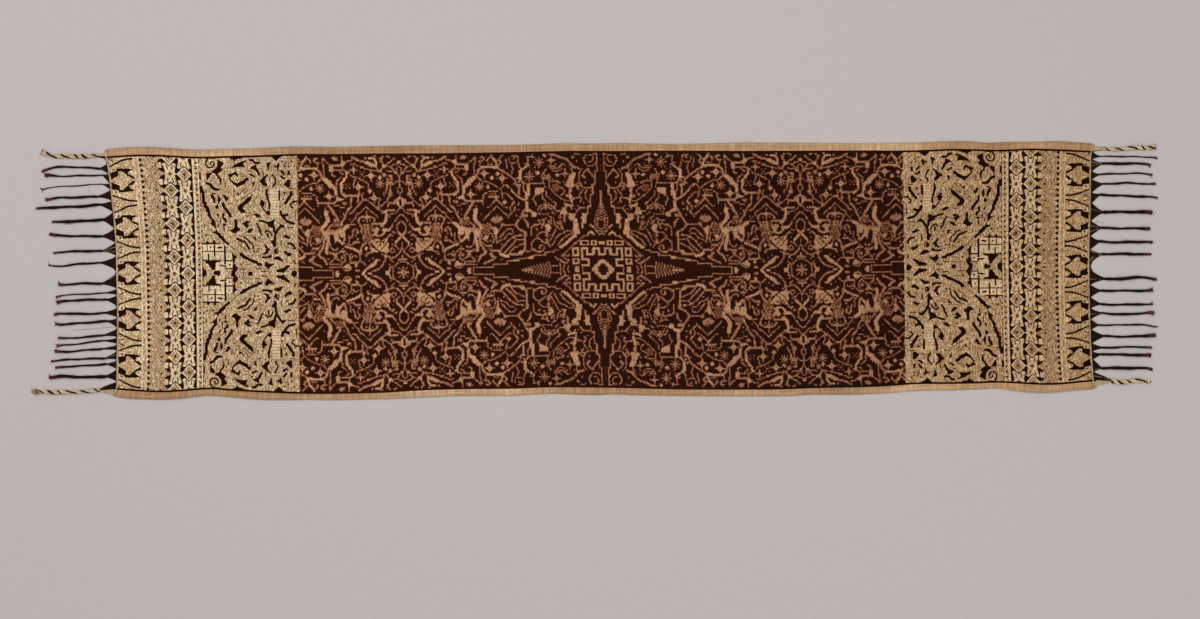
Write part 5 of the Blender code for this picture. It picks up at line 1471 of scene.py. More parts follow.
SHIFT_STATIONS = 112  # the even steps of the solid cloth


def frame_shift():
    """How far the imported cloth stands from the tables' own origin."""
    low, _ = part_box("cloth")
    own_south = min(cross_row(station)[0][0] for station in stations_of(SHIFT_STATIONS))
    own_west = min(shifted_along(WEST_BASE, across) for across, _ in cross_row(WEST_BASE))
    return low.x / MM - own_west, low.y / MM - own_south


CORNER_CELLS = ((0, 0), (FACE_CELLS, 0), (FACE_CELLS, FACE_CELLS), (0, FACE_CELLS))
IKAT_SLOT, GOLD_SLOT, BAND_SLOT = 0, 1, 2
NO_CELLS = (0, 0, 0)
ACROSS_COUNT = FACES_ACROSS + 2 * BAND_FACES + 1  # places across the sheet
FACE_LENGTH = (EAST_BASE - WEST_BASE) / FACES_ALONG
RIM = 0.6  # of a face, given to the thin edge in the sheet's flat places
BAKE_LEFT, BAKE_WIDTH = 0.01, 0.955  # the bake layout: the sheet's two halves, one above the other
BAKE_LOW, BAKE_HEIGHT = 0.005, 0.488


class SheetFaces:
    """The sheet's faces as they are added, each with its slot, its cells of the chart and its places."""

    def __init__(self):
        self.corners, self.slots, self.packed = [], [], []
        self.places = {"Cells": [], "Weave": [], "OFBake": []}

    def add(self, corners, spots, slot, packed=NO_CELLS, cells=CORNER_CELLS):
        self.corners.append(corners)
        self.slots.append(slot)
        self.packed.append(packed)
        self.places["Cells"].extend(cells)
        middle = FACES_ALONG / 2
        half = 0 if max(i for i, _ in spots) <= middle else 1
        for i, j in spots:
            self.places["Weave"].append((i * FACE_LENGTH * MM, j * FACE_LENGTH * MM))
            along = (i - half * middle) / middle
            self.places["OFBake"].append(
                (BAKE_LEFT + BAKE_WIDTH * along, BAKE_LOW + 0.5 * half + j * BAKE_HEIGHT / ACROSS_COUNT)
            )

    def add_edge(self, corners, spots, out):
        """A face of the sheet's thin edge, turned over where it looks the other way."""
        if out > 0:
            corners, spots = corners[::-1], spots[::-1]
        self.add(corners, spots, BAND_SLOT)


def sheet_places(stations):
    """The sheet's upper and lower face, as places from west to east and from south to north."""
    shift_x, shift_y = frame_shift()
    upper, lower = [], []
    for station in stations:
        for across, lift in cross_row(station):
            along = shifted_along(station, across)
            height = lift + ripple_at(along, across)
            place = ((along + shift_x) * MM, (across + shift_y) * MM)
            lower.append((*place, height * MM))
            upper.append((*place, (height + thickness_at(along, across)) * MM))
    return upper, lower


def add_both_faces(faces, stations, count):
    """The woven face that shows and the one below it, which carry the same cells."""
    numbers = packed_faces(whole_chart())
    for i in range(FACES_ALONG):
        middle = (stations[i] + stations[i + 1]) / 2
        woven_slot = GOLD_SLOT if middle < GOLD_WEST or middle > GOLD_EAST else IKAT_SLOT
        for j in range(ACROSS_COUNT - 1):
            in_band = j < BAND_FACES or j >= BAND_FACES + FACES_ACROSS
            slot = BAND_SLOT if in_band else woven_slot
            packed = NO_CELLS if in_band else numbers[i, j - BAND_FACES]
            at, beyond = i * ACROSS_COUNT + j, (i + 1) * ACROSS_COUNT + j
            corners = (at, beyond, beyond + 1, at + 1)
            spots = [(i, j), (i + 1, j), (i + 1, j + 1), (i, j + 1)]
            faces.add(corners, spots, slot, packed)
            below = tuple(count + corner for corner in reversed(corners))
            faces.add(below, spots[::-1], slot, packed, CORNER_CELLS[::-1])


def add_edges(faces, count):
    """The thin edge all round, which joins the two faces."""
    for i in range(FACES_ALONG):
        for j, out in ((0, -RIM), (ACROSS_COUNT - 1, RIM)):
            a, b = i * ACROSS_COUNT + j, (i + 1) * ACROSS_COUNT + j
            spots = [(i, j + out), (i + 1, j + out), (i + 1, j), (i, j)]
            faces.add_edge((a + count, b + count, b, a), spots, out)
    for j in range(ACROSS_COUNT - 1):
        for i, out in ((0, -RIM), (FACES_ALONG, RIM)):
            a, b = i * ACROSS_COUNT + j, i * ACROSS_COUNT + j + 1
            spots = [(i, j), (i, j + 1), (i + out, j + 1), (i + out, j)]
            faces.add_edge((a, b, b + count, a + count), spots, out)


def make_cloth(materials):
    """The woven sheet, both faces, each face of its mesh holding its own cells of the chart."""
    stations = stations_of(FACES_ALONG)
    upper, lower = sheet_places(stations)
    faces = SheetFaces()
    add_both_faces(faces, stations, len(upper))
    add_edges(faces, len(upper))
    cloth = new_object("cloth_sheet", upper + lower, faces.corners, materials)
    mesh = cloth.data
    mesh.polygons.foreach_set("material_index", faces.slots)
    attribute = mesh.attributes.new("chart", "FLOAT_VECTOR", "FACE")
    attribute.data.foreach_set("vector", np.array(faces.packed, np.float32).ravel())
    for name, places in faces.places.items():
        layer = mesh.uv_layers.new(name=name)
        layer.data.foreach_set("uv", np.array(places, np.float32).ravel())
    return cloth


def colour(red, green, blue):
    """A colour from its screen values, 0 to 255, as Blender's nodes want it."""
    parts = [value / 255 for value in (red, green, blue)]
    return tuple(v / 12.92 if v <= 0.04045 else ((v + 0.055) / 1.055) ** 2.4 for v in parts) + (1.0,)


class Tree:
    """Short words for building a material's nodes."""

    def __init__(self, name):
        self.material = bpy.data.materials.new(name)
        self.material.use_nodes = True
        self.nodes = self.material.node_tree.nodes
        self.links = self.material.node_tree.links
        self.shader = self.nodes["Principled BSDF"]

    def feed(self, socket, value):
        if isinstance(value, bpy.types.NodeSocket):
            self.links.new(value, socket)
        else:
            socket.default_value = value

    def math(self, operation, *values):
        node = self.nodes.new("ShaderNodeMath")
        node.operation = operation
        for socket, value in zip(node.inputs, values):
            self.feed(socket, value)
        return node.outputs[0]

    def uv(self, name):
        node = self.nodes.new("ShaderNodeUVMap")
        node.uv_map = name
        return node.outputs[0]

    def attribute(self, name, output):
        node = self.nodes.new("ShaderNodeAttribute")
        node.attribute_name = name
        return node.outputs[output]

    def split(self, vector):
        node = self.nodes.new("ShaderNodeSeparateXYZ")
        self.links.new(vector, node.inputs[0])
        return node.outputs

    def noise(self, vector, scale, stretch=(1, 1, 1), detail=2.0):
        mapping = self.nodes.new("ShaderNodeMapping")
        self.links.new(vector, mapping.inputs["Vector"])
        mapping.inputs["Scale"].default_value = stretch
        node = self.nodes.new("ShaderNodeTexNoise")
        self.links.new(mapping.outputs[0], node.inputs["Vector"])
        node.inputs["Scale"].default_value = scale
        node.inputs["Detail"].default_value = detail
        return node.outputs["Fac"]

    def ramp(self, factor, stops, interpolation="LINEAR"):
        node = self.nodes.new("ShaderNodeValToRGB")
        node.color_ramp.interpolation = interpolation
        elements = node.color_ramp.elements
        while len(elements) < len(stops):
            elements.new(0.5)
        for element, (position, shade) in zip(elements, stops):
            element.position = position
            element.color = shade
        self.feed(node.inputs[0], factor)
        return node.outputs[0]

    def mix(self, blend, factor, first, second):
        node = self.nodes.new("ShaderNodeMix")
        node.data_type = "RGBA"
        node.blend_type = blend
        self.feed(node.inputs[0], factor)
        self.feed(node.inputs[6], first)
        self.feed(node.inputs[7], second)
        return node.outputs[2]

    def scaled(self, shade, factor):
        """A colour made lighter or darker by a factor."""
        node = self.nodes.new("ShaderNodeVectorMath")
        node.operation = "SCALE"
        self.feed(node.inputs[0], shade)
        self.feed(node.inputs["Scale"], factor)
        return node.outputs[0]

    def spread(self, value, low, high):
        """A noise's value, which lies near the middle, spread to run from low to high."""
        node = self.nodes.new("ShaderNodeMapRange")
        self.feed(node.inputs["Value"], value)
        node.inputs["From Min"].default_value = 0.3
        node.inputs["From Max"].default_value = 0.7
        node.inputs["To Min"].default_value = low
        node.inputs["To Max"].default_value = high
        return node.outputs[0]

    def bump(self, height, distance, strength):
        node = self.nodes.new("ShaderNodeBump")
        node.inputs["Strength"].default_value = strength
        node.inputs["Distance"].default_value = distance
        self.feed(node.inputs["Height"], height)
        self.links.new(node.outputs[0], self.shader.inputs["Normal"])

    def finish(self, shade, roughness, specular=0.05, metallic=0.0):
        self.feed(self.shader.inputs["Base Color"], shade)
        self.feed(self.shader.inputs["Roughness"], roughness)
        self.shader.inputs["Metallic"].default_value = metallic
        self.shader.inputs["Specular IOR Level"].default_value = specular
        return self.material


THREAD_PITCH = 1.034  # a bundle of threads, which is one cell of the chart
IKAT_EAST = (0.53, 0.48, 0.46)  # the cloth is palest at its west end and darkens eastwards
GOLD_EAST_TONE = (0.75, 0.67, 0.58)
IKAT_TONES = (colour(46, 20, 9), colour(98, 43, 24), colour(164, 116, 84), colour(198, 151, 112))
GOLD_TONES = (colour(38, 15, 3), colour(92, 56, 28), colour(190, 154, 110), colour(240, 216, 178))
BAND_TONES = ((0.3, colour(158, 116, 78)), (0.5, colour(190, 150, 112)), (0.68, colour(212, 178, 138)))
DARK_YARN, RED_YARN, PALE_YARN = colour(33, 21, 19), colour(98, 50, 39), colour(208, 182, 142)
IKAT_UNEVEN, GOLD_UNEVEN, BAND_UNEVEN = 0.16, 0.14, 0.2  # how much the tone wanders from thread to thread


def charted_tone(tree):
    """The tone of the cell at this spot, from 0 to 3, unpacked from the face's three numbers."""
    cells = tree.split(tree.uv("Cells"))
    col = tree.math("MINIMUM", tree.math("FLOOR", cells[0]), FACE_CELLS - 1)
    row = tree.math("MINIMUM", tree.math("FLOOR", cells[1]), FACE_CELLS - 1)
    pair = tree.math("FLOOR", tree.math("DIVIDE", row, 2.0))
    in_pair = tree.math("SUBTRACT", row, tree.math("MULTIPLY", pair, 2.0))
    place = tree.math("ADD", tree.math("MULTIPLY", in_pair, FACE_CELLS), col)
    numbers = tree.split(tree.attribute("chart", "Vector"))
    picked = None
    for i in range(3):
        here = tree.math("MULTIPLY", numbers[i], tree.math("COMPARE", pair, float(i), 0.1))
        picked = here if picked is None else tree.math("ADD", picked, here)
    weight = tree.math("ROUND", tree.math("POWER", 4.0, place))
    whole = tree.math("FLOOR", tree.math("DIVIDE", picked, weight))
    rest = tree.math("MULTIPLY", tree.math("FLOOR", tree.math("DIVIDE", whole, 4.0)), 4.0)
    return tree.math("SUBTRACT", whole, rest)


def thread_height(tree, weave, along_share=0.5):
    """Plain weave as a height: ribs of weft along one way and of warp along the other."""
    place = tree.split(weave)
    waves = []
    for output, share in ((place[0], along_share), (place[1], 1 - along_share)):
        turned = tree.math("MULTIPLY", output, 2 * math.pi / (THREAD_PITCH * MM))
        waves.append(tree.math("MULTIPLY", tree.math("SINE", turned), share))
    return tree.math("ADD", waves[0], waves[1])


def thread_tone(tree, weave, amount):
    """Unevenness from thread to thread, both ways, as a factor near one."""
    warp = tree.spread(tree.noise(weave, 1.0, (22, 480, 1)), 1 - amount, 1 + amount)
    weft = tree.spread(tree.noise(weave, 1.0, (480, 30, 1)), 1 - amount, 1 + amount)
    streak = tree.spread(tree.noise(weave, 1.0, (3, 90, 1), 3.0), 1 - amount * 0.7, 1 + amount * 0.7)
    blotch = tree.spread(tree.noise(weave, 7.0, (1, 1, 1), 3.0), 1 - amount * 0.6, 1 + amount * 0.6)
    return tree.math("MULTIPLY", tree.math("MULTIPLY", warp, weft), tree.math("MULTIPLY", streak, blotch))


def darkened_eastwards(tree, weave, shade, east):
    """The colour, unchanged at the west end and multiplied by the given one at the east end."""
    along = tree.math("DIVIDE", tree.split(weave)[0], (EAST_BASE - WEST_BASE) * MM)
    return tree.mix("MULTIPLY", 1.0, shade, tree.ramp(along, ((0.0, (1, 1, 1, 1)), (1.0, (*east, 1)))))


def tone_colour(tree, tone, stops):
    """The colour of each tone, from the darkest to the brightest."""
    step = 1 / len(stops)
    factor = tree.math("ADD", tree.math("MULTIPLY", tone, step), 0.4 * step)
    return tree.ramp(factor, [(step * i, stop) for i, stop in enumerate(stops)], "CONSTANT")


def charted_shade(tree, weave, tones, east, uneven):
    """The chart's colour at this spot, darkened eastwards and uneven from thread to thread."""
    shade = darkened_eastwards(tree, weave, tone_colour(tree, charted_tone(tree), tones), east)
    return tree.scaled(shade, thread_tone(tree, weave, uneven))


def ikat_material():
    """Matt dyed cotton in the chart's four tones."""
    tree = Tree("ikat_weave")
    weave = tree.uv("Weave")
    shade = charted_shade(tree, weave, IKAT_TONES, IKAT_EAST, IKAT_UNEVEN)
    tree.bump(thread_height(tree, weave), 0.0003, 0.7)
    return tree.finish(shade, 0.92)


def gold_material():
    """Dull gold thread worked over the dark ground."""
    tree = Tree("gold_thread_work")
    weave = tree.uv("Weave")
    shade = charted_shade(tree, weave, GOLD_TONES, GOLD_EAST_TONE, GOLD_UNEVEN)
    tree.bump(thread_height(tree, weave, 0.7), 0.0004, 0.8)
    roughness = tree.spread(tree.noise(weave, 300.0), 0.6, 0.8)
    return tree.finish(shade, roughness, specular=0.02, metallic=0.04)


def band_material():
    """The plain tan selvedge, ribbed along the cloth and unevenly worn."""
    tree = Tree("plain_selvedge")
    weave = tree.uv("Weave")
    shade = tree.ramp(tree.noise(weave, 2.2, (1, 1, 1), 3.0), BAND_TONES)
    shade = tree.scaled(shade, thread_tone(tree, weave, BAND_UNEVEN))
    ribs = tree.spread(tree.noise(weave, 1.0, (150, 4, 1)), 0.8, 1.2)
    shade = tree.scaled(shade, ribs)
    tree.bump(thread_height(tree, weave, 0.8), 0.0004, 0.8)
    return tree.finish(shade, 0.9)


class Yarns:
    """Yarns gathered into one mesh, each a thin tube. Every point carries its dye: red, pale and tone."""

    def __init__(self):
        self.vertices, self.faces, self.dyes, self.fibres = [], [], [], []

    def tube(self, points, radii, dyes, sides=6):
        points = np.asarray(points, float)
        radii = np.broadcast_to(np.asarray(radii, float), len(points))
        dyes = np.broadcast_to(np.asarray(dyes, float), (len(points), 3))
        ahead = np.gradient(points, axis=0)
        ahead /= np.linalg.norm(ahead, axis=1)[:, None]
        beside = np.cross(ahead, (0.013, 0.007, 1.0))
        beside /= np.linalg.norm(beside, axis=1)[:, None]
        above = np.cross(beside, ahead)
        steps = np.linalg.norm(np.diff(points, axis=0), axis=1)
        run = np.concatenate(([0], np.cumsum(steps)))
        first = len(self.vertices)
        for i, point in enumerate(points):
            for k in range(sides):
                turn = 2 * math.pi * k / sides
                out = beside[i] * math.cos(turn) + above[i] * math.sin(turn)
                self.vertices.append(tuple((point + out * radii[i]) * MM))
                self.dyes.append((*dyes[i], 1.0))
        for i in range(len(points) - 1):
            for k in range(sides):
                near, far = first + i * sides, first + (i + 1) * sides
                beyond = (k + 1) % sides
                self.faces.append((near + k, near + beyond, far + beyond, far + k))
                for at, turn in ((i, k), (i, k + 1), (i + 1, k + 1), (i + 1, k)):
                    self.fibres.append((run[at] * MM, turn / sides))
        last = first + (len(points) - 1) * sides
        self.faces.append(tuple(first + k for k in reversed(range(sides))))
        self.faces.append(tuple(last + k for k in range(sides)))
        self.fibres += [(0.0, 0.0)] * (2 * sides)

    def make(self, name, material):
        thing = new_object(name, self.vertices, self.faces, [material])
        attribute = thing.data.attributes.new("dye", "FLOAT_COLOR", "POINT")
        attribute.data.foreach_set("color", np.array(self.dyes, np.float32).ravel())
        layer = thing.data.uv_layers.new(name="Fibre")
        layer.data.foreach_set("uv", np.array(self.fibres, np.float32).ravel())
        return thing


CORD_STEP = 1.6  # between two sections of a cord
PLY_SHARE = 0.49  # a ply's radius against its cord's
PRESSED = 0.92  # how far plies press into one another and into the ground
FLATNESS = 0.9
PLY_PITCH = 9.0  # one full turn of a tassel's plies, where the tassel is 4 thick
CORNER_PITCH = 23.0
TIP_LENGTH = 16.0  # how far back from its tip a tassel's dye has reddened
THICK_TIP = 0.3  # how much thicker a tip is
FULLNESS = 1.4  # the plies' hollows and loose hairs make a cord wider than its core
CURL_LENGTH, CURL_REACH = 10.0, 1.9
ROOT_TUCK = 2.0  # how far a thread starts inside the cloth's end
YARN_PITCH = 1.05
CORNER_HOLLOW, TASSEL_HOLLOW = 0.8, 1.45  # how the roots gather: under 1 they bulge, over 1 they hollow
CORNER_LOOSENESS, TASSEL_LOOSENESS = 1.0, 0.15
DARK_DYE, PALE_DYE, FADED_DYE = (0.0, 0.0), (0.0, 1.0), (0.0, 0.55)
FADED_SHARE = 0.02  # of the warp threads
FAN_PLACES = (0.12, 0.26, 0.42, 0.58, 0.74, 0.88, 1.0)  # shares of the way from the roots to the neck
FAN_RADII = (0.6, 0.6, 0.6, 0.6, 0.57, 0.53, 0.48, 0.45, 0.42, 0.3)
FRAY_PLACES, FRAY_RADII = (0, 0.4, 0.75, 1.0), (0.62, 0.55, 0.42, 0.22)


def curve_through(points, step):
    """Places about a step apart along a smooth curve through the points."""
    dense = []
    last = len(points) - 1
    for i in range(last):
        before, start, end, after = (np.array(points[min(max(i + k, 0), last)]) for k in (-1, 0, 1, 2))
        for t in np.linspace(0, 1, 16, endpoint=False):
            dense.append(
                0.5
                * (
                    2 * start
                    + (end - before) * t
                    + (2 * before - 5 * start + 4 * end - after) * t**2
                    + (3 * start - before - 3 * end + after) * t**3
                )
            )
    dense = np.array(dense + [np.array(points[last], float)])
    run = np.concatenate(([0], np.cumsum(np.linalg.norm(np.diff(dense, axis=0), axis=1))))
    even = np.linspace(0, run[-1], max(int(run[-1] / step), 4) + 1)
    return np.stack([np.interp(even, run, dense[:, k]) for k in range(dense.shape[1])], axis=1), even


def sideways(path):
    """Across each place of a flat path, pointing north where the path runs east or west."""
    ahead = np.gradient(path, axis=0)
    ahead /= np.linalg.norm(ahead, axis=1)[:, None]
    across = np.stack([-ahead[:, 1], ahead[:, 0]], axis=1)
    return across * np.sign(across[:, 1:2])


def twisted_cord(yarns, rng, path, run, widths, plies, pitch, phase, looseness):
    """Plies wound round one another along a path. Each ply is given by its dye at every place."""
    across = sideways(path)
    way = math.copysign(1.0, path[-1][0] - path[0][0])
    radius = widths / 2
    ply_radius = radius * PLY_SHARE
    for i, dyes in enumerate(plies):
        wound = run / pitch + looseness * (0.22 * np.sin(run / 15 + phase) + 0.1 * np.sin(run / 6.3))
        turn = phase + 2 * math.pi * i / len(plies) + way * 2 * math.pi * wound
        swell = 1 + 0.05 * np.sin(run / 3.1 + rng.uniform(0, 6))
        swell += looseness * 0.22 * np.sin(run / 9.5 + rng.uniform(0, 6))
        away = radius - ply_radius * PRESSED
        out = away * np.cos(turn)
        up = away * np.sin(turn) * FLATNESS
        centre = np.column_stack([path + across * out[:, None], radius * PRESSED + up])
        yarns.tube(centre, ply_radius * swell, dyes, 7)


def dye_along(run, dye, tip_red, tone):
    """The dye of a yarn along its run, reddening to its tip."""
    left = run[-1] - run
    red = tip_red * np.clip(1.7 * (1.0 - left / TIP_LENGTH), 0, 1)
    return np.column_stack([np.maximum(dye[0], red), np.full(len(run), dye[1]), np.full(len(run), tone)])


def fan_dye(rng, pale):
    """The dye of one warp thread at the roots, with its tone."""
    tone = rng.uniform(0.25, 0.75)
    dye = (rng.uniform(0, 0.12), 0.0)
    if pale:
        return (*PALE_DYE, tone * 0.5)
    if rng.random() < FADED_SHARE:
        dye = FADED_DYE
    return (*dye, tone)


def root_fan(yarns, rng, line, way, reach, strand, path, bands, strip):
    """The warp threads of one tassel, from the cloth's end to where they gather into its cord.

    bands holds the two places beyond which a corner's threads are pale, and is None for a tassel."""
    top, foot, width = strand[0], strand[1], strand[6]
    high, low = reach
    count = max(int((high - low) / YARN_PITCH), 3)
    middle = (top + foot) / 2
    hollow = CORNER_HOLLOW if bands else TASSEL_HOLLOW
    start = along_line(line, middle) + way * (GAP + strip)
    neck = path[0]
    gathered = width * 0.82
    for k in range(count):
        share = (k + 0.5) / count - 0.5 + rng.uniform(-0.15, 0.15) / count
        root = (high + low) / 2 + share * (high - low)
        dye = fan_dye(rng, bands and not bands[0] < root < bands[1])
        edge = along_line(line, root)
        points = [(edge - way * ROOT_TUCK, root, 0.95), (edge + way * (GAP + strip * 0.7), root, 0.85)]
        strayed = rng.uniform(-0.5, 0.5)
        for t in FAN_PLACES:
            wide = gathered + (top - foot - gathered) * (1 - t) ** hollow
            x = start + (neck[0] - start) * t
            y = middle + (neck[1] - middle) * t + share * wide + strayed * math.sin(3 * t) * (1 - t)
            heap = (1 - (2 * share) ** 2) * width * 0.42 * t**2
            points.append((x, y, 0.8 + heap + rng.uniform(-0.15, 0.35)))
        points.append((path[3][0], path[3][1] + share * width * 0.5, width * 0.45))
        yarns.tube(points, FAN_RADII, dye, 5)


def curled(path, run, rng):
    """The last stretch of a cord, bent a little to one side."""
    near_tip = np.clip(1 - (run[-1] - run) / CURL_LENGTH, 0, 1)
    return path + sideways(path) * (rng.uniform(-1, 1) * CURL_REACH * near_tip**2)[:, None]


def frayed_tip(yarns, rng, tip, ahead, width, dye, red):
    """Loose filaments where a cord stops."""
    for _ in range(rng.integers(8, 13)):
        aside = rng.normal(0, 0.3)
        length = rng.uniform(2.5, 6.5)
        side = np.array((-ahead[1], ahead[0]))
        base = tip - ahead * 2.0 + side * rng.uniform(-0.34, 0.34) * width
        points = []
        for t in FRAY_PLACES:
            place = base + ahead * length * t + side * aside * length * t * (0.5 + t)
            points.append((place[0], place[1], max(width * 0.42 * (1 - 0.7 * t), 0.5)))
        redness = red * rng.uniform(0.6, 1.1)
        yarns.tube(points, FRAY_RADII, (max(dye[0], redness), dye[1] * 0.7, rng.random()), 5)


KNOT_POINTS = 64


def knot_at(yarns, rng, place, ahead, size, dyes):
    """An overhand knot pulled tight: one cord along a three-lobed curve."""
    side = np.array((-ahead[1], ahead[0]))
    turns = np.linspace(0, 2 * math.pi, KNOT_POINTS)
    for i, dye in enumerate(dyes):
        points = []
        for turn in turns:
            phase = turn + 0.22 * i
            forward = (math.sin(phase) + 2 * math.sin(2 * phase)) / 3
            beside = (math.cos(phase) - 2 * math.cos(2 * phase)) / 3
            up = -math.sin(3 * phase)
            flat = place + ahead * forward * size * 0.36 + side * beside * size * 0.33
            points.append((flat[0], flat[1], size * (0.4 + 0.17 * up) + i * 0.5))
        yarns.tube(points, size * 0.125, (*dye, rng.uniform(0.3, 0.7)), 7)


# Single threads that strayed from the tassels: places, radius and dye.
WEST_STRAYS = (
    (((-1010, -119, 1.2), (-1040, -121, 1.6), (-1072, -124, 1.2), (-1098, -125, 1.0)), 0.35,
     (0.0, 0.6, 0.6)),
    (((-1012, 196, 1.4), (-1024, 200, 2.6), (-1034, 197, 1.0)), 0.3, (0.1, 0.5, 0.5)),
)
EAST_STRAYS = ((((1014, 94, 1.2), (1024, 99, 2.2), (1036, 97, 1.0)), 0.3, (0.1, 0.5, 0.5)),)


def stray_yarn(yarns, points, radius, dye):
    """One loose thread on the ground."""
    path, _ = curve_through(points, 2.0)
    yarns.tube(path, radius, dye, 5)


TWINE_POINTS, TWINE_PITCH = 640, 5.2
TWINE_WANDER = 61  # points over which the edge's waver is averaged


def twined_edge(yarns, rng, line, way, width):
    """The pale twined cord that locks the woven end."""
    places = np.linspace(line[1][0] + 1.0, line[-2][0] - 1.0, TWINE_POINTS)
    path = np.array([(along_line(line, across) + way * 0.5, across) for across in places])
    steps = rng.normal(0, 1, TWINE_POINTS + TWINE_WANDER - 1)
    path[:, 0] += np.convolve(steps, np.ones(TWINE_WANDER) / TWINE_WANDER, "valid") * 1.6
    run = places - places[0]
    for i in range(2):
        turn = math.pi * i + 2 * math.pi * run / TWINE_PITCH
        out, up = 0.25 * width * np.cos(turn), 0.25 * width * np.sin(turn)
        centre = np.column_stack([path[:, 0] + out, path[:, 1], 1.75 + up])
        tone = 0.5 + 0.3 * np.sin(run / 37.0 + i)
        dyes = np.column_stack([np.full(TWINE_POINTS, 0.12), np.full(TWINE_POINTS, 0.93), tone])
        yarns.tube(centre, width * 0.27, dyes, 6)


def end_line(station):
    """A woven end as it runs across the cloth: places across, each with its place along."""
    return [(across, shifted_along(station, across)) for across, _ in cross_row(station)]


def along_line(line, across):
    """Where a line of straight stretches is, along the cloth, at this place across it."""
    across = min(max(across, line[0][0]), line[-1][0])
    for (low, low_along), (high, high_along) in zip(line, line[1:]):
        if across <= high:
            return low_along + (high_along - low_along) * (across - low) / (high - low)
    return line[-1][1]


def cord_widths(run, width, tip_width, rng):
    """A cord's width along its run: uneven, and changing to the tip's width over the last stretch."""
    grown = width + (tip_width - width) * np.clip(1 - (run[-1] - run) / (2 * KNOT_LENGTH), 0, 1)
    uneven = 1 + 0.11 * np.sin(run / 13 + rng.uniform(0, 6)) + 0.07 * np.sin(run / 4.4 + rng.uniform(0, 6))
    thick_tip = 1 + THICK_TIP * np.clip(1 - (run[-1] - run) / TIP_LENGTH, 0, 1)
    return np.maximum(grown, 1.7) * uneven * thick_tip * FULLNESS


def cord_path(strand, base, way, rng):
    """A cord's places and its run, with a slight waver and, where it has no knot, a curl at the tip."""
    _, _, *points, _, _, knot = strand
    path, run = curve_through([(base + way * out, across) for out, across in points], CORD_STEP)
    path = path + sideways(path) * (0.45 * np.sin(run / 9 + rng.uniform(0, 6)))[:, None]
    return (path if knot else curled(path, run, rng)), run


def root_reach(line, strands, i):
    """Where a tassel's threads stop on the woven end, north and south, half way to its neighbours."""
    top, foot = strands[i][:2]
    high = line[-1][0] if i == 0 else (top + strands[i - 1][1]) / 2
    low = line[0][0] if i == len(strands) - 1 else (foot + strands[i + 1][0]) / 2
    return high, low


def add_cord(yarns, rng, path, run, strand, corner):
    """The plied cord of one strand, its frayed tip and, where it has one, its knot."""
    width, tip_width, knot = strand[-3:]
    red = rng.uniform(0.35, 1.0)
    widths = cord_widths(run, width, tip_width, rng)
    if corner:
        dyes = (PALE_DYE, PALE_DYE, DARK_DYE)
        pitch = CORNER_PITCH
        looseness = CORNER_LOOSENESS
    else:
        dyes = (DARK_DYE,) * 3
        pitch = PLY_PITCH * max(width, 2.5) / 4
        looseness = TASSEL_LOOSENESS
    plies = [dye_along(run, dye, red * (1 - dye[1]), rng.uniform(0.3, 0.7)) for dye in dyes]
    twisted_cord(yarns, rng, path, run, widths, plies, pitch, rng.uniform(0, 6), looseness)
    ahead = path[-1] - path[-3]
    ahead /= np.linalg.norm(ahead)
    for dye in (PALE_DYE, DARK_DYE) if corner else (DARK_DYE,):
        frayed_tip(yarns, rng, path[-1], ahead, widths[-1], dye, red)
    if knot:
        knot_dyes = (PALE_DYE, (0.3, 0.3)) if corner else (DARK_DYE, (0.4, 0.0))
        knot_at(yarns, rng, path[-1] - ahead * knot * 0.5, ahead, knot, knot_dyes)


def make_fringe(name, base, way, strands, strays, material, seed, edge_width, strip):
    """One end's fringe: way is -1 at the west end and 1 at the east, strip the depth of the roots."""
    rng = np.random.default_rng(seed)
    yarns = Yarns()
    line = end_line(base)
    band_places = smooth(SOUTH_EDGE, base, 2), smooth(NORTH_EDGE, base, 2)
    for i, strand in enumerate(strands):
        path, run = cord_path(strand, base, way, rng)
        bands = band_places if i in (0, len(strands) - 1) else None
        root_fan(yarns, rng, line, way, root_reach(line, strands, i), strand, path, bands, strip)
        add_cord(yarns, rng, path, run, strand, bool(bands))
    twined_edge(yarns, rng, line, way, edge_width)
    for points, radius, dye in strays:
        stray_yarn(yarns, points, radius, dye)
    fringe = yarns.make(name, material)
    shift_x, shift_y = frame_shift()
    fringe.data.transform(Matrix.Translation((shift_x * MM, shift_y * MM, 0)))
    return fringe


YARN_TURNS = 420.0  # turns of a yarn's own twist in a metre
YARN_FIBRES = 4


def yarn_material(name):
    """Twisted cotton, whose dye and tone come from each point, with its own twist as fine grooves, bumped
    and darkened in the grooves as painted shade.
    """
    tree = Tree(name)
    dye = tree.nodes.new("ShaderNodeSeparateColor")
    tree.links.new(tree.attribute("dye", "Color"), dye.inputs[0])
    red, pale, tone = dye.outputs[0], dye.outputs[1], dye.outputs[2]
    fibre = tree.uv("Fibre")
    place = tree.split(fibre)
    wound = tree.math("ADD", tree.math("MULTIPLY", place[0], YARN_TURNS), place[1])
    strands = tree.math("SINE", tree.math("MULTIPLY", wound, 2 * math.pi * YARN_FIBRES))
    dark = tree.mix("MIX", red, DARK_YARN, RED_YARN)
    shade = tree.mix("MIX", pale, dark, PALE_YARN)
    uneven = tree.spread(tree.noise(fibre, 90.0, (1, 0.02, 1), 3.0), 0.75, 1.3)
    level = tree.math("ADD", tree.math("MULTIPLY", tone, 0.7), 0.65)
    # painted shade: the yarn's colour darkens a little in the grooves of its twist
    groove_shade = tree.math("ADD", tree.math("MULTIPLY", strands, 0.1), 0.95)
    shade = tree.scaled(shade, tree.math("MULTIPLY", tree.math("MULTIPLY", uneven, level), groove_shade))
    tree.bump(strands, 0.0002, 0.6)
    return tree.finish(shade, 0.88, specular=0.03)


GROUND = colour(184, 177, 174)
SKY = colour(244, 242, 242)
SKY_STRENGTH = 0.55
FLOOR_REACH = 40.0
FLOOR_DROP = 0.0003  # keeps the ground just under the cloth


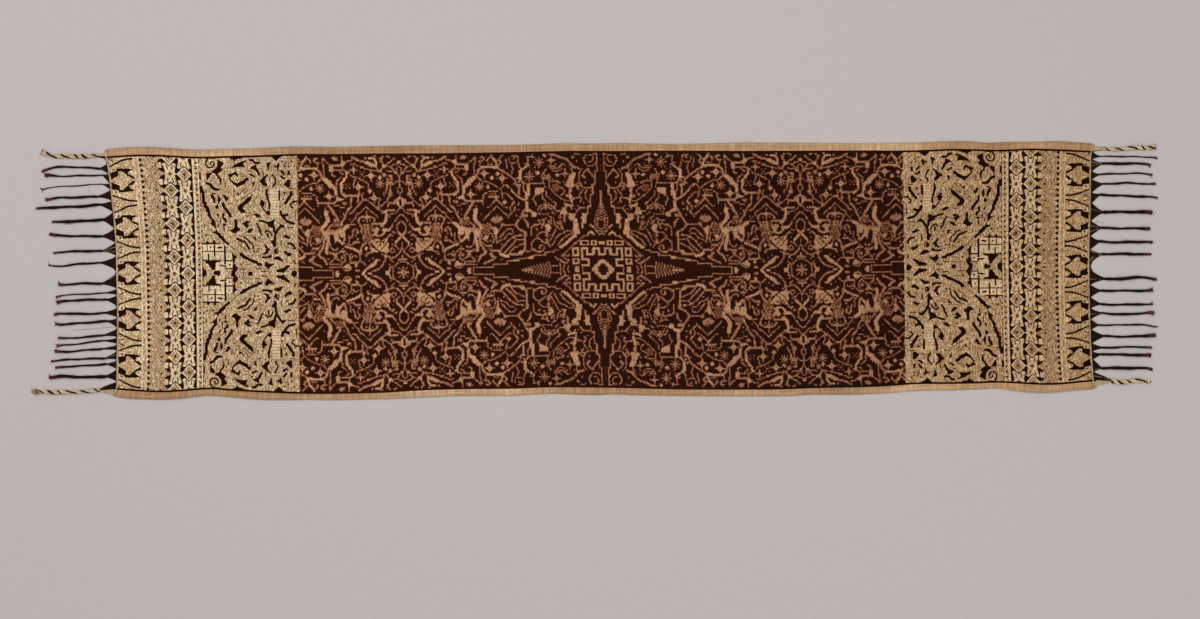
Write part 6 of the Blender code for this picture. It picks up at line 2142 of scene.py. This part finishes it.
def make_floor():
    """The plain pale ground that the cloth lies on."""
    tree = Tree("pale_ground")
    place = tree.nodes.new("ShaderNodeTexCoord").outputs["Object"]
    grain = tree.spread(tree.noise(place, 60.0, detail=4.0), 0.985, 1.015)
    shade = tree.scaled(GROUND[:3], grain)
    tree.bump(tree.noise(place, 900.0), 0.0002, 0.3)
    material = tree.finish(shade, 0.95)
    corners = [(x * FLOOR_REACH, y * FLOOR_REACH, 0) for x, y in ((-1, -1), (1, -1), (1, 1), (-1, 1))]
    floor = new_object("floor", corners, [(0, 1, 2, 3)], [material], smooth_shading=False)
    floor.location.z = -FLOOR_DROP


LAMPS = (("key", (-1.6, 1.9, 4.6), 3.0, 125), ("fill", (2.0, -1.6, 4.6), 3.4, 80))  # place, size, power


def make_lights():
    """A soft studio: an even sky and two wide lamps, the stronger one from the north-west."""
    world = bpy.data.worlds.new("soft_studio")
    world.use_nodes = True
    background = world.node_tree.nodes["Background"]
    background.inputs["Color"].default_value = SKY
    background.inputs["Strength"].default_value = SKY_STRENGTH
    bpy.context.scene.world = world
    for name, place, size, power in LAMPS:
        data = bpy.data.lights.new(name, "AREA")
        data.shape = "SQUARE"
        data.size = size
        data.energy = power
        lamp = bpy.data.objects.new(name, data)
        lamp.location = place
        x, y, z = place
        lamp.rotation_euler = (math.atan2(math.hypot(x, y), z), 0, math.atan2(-x, y) + math.pi)
        bpy.context.scene.collection.objects.link(lamp)


bpy.context.scene.view_settings.view_transform = "Standard"
make_floor()
make_lights()
cloth = make_cloth([ikat_material(), gold_material(), band_material()])
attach(cloth, "root")
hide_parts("cloth")

warp = yarn_material("twisted_warp_ends")
west = make_fringe(
    "fringe_yarns_west", WEST_BASE, -1, WEST_STRANDS, WEST_STRAYS, warp, seed=11, edge_width=2.6, strip=2.6
)
east = make_fringe(
    "fringe_yarns_east", EAST_BASE, 1, EAST_STRANDS, EAST_STRAYS, warp, seed=12, edge_width=2.2, strip=5.6
)
for fringe, node in ((west, "fringe_west"), (east, "fringe_east")):
    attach(fringe, "root")
    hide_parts(node)
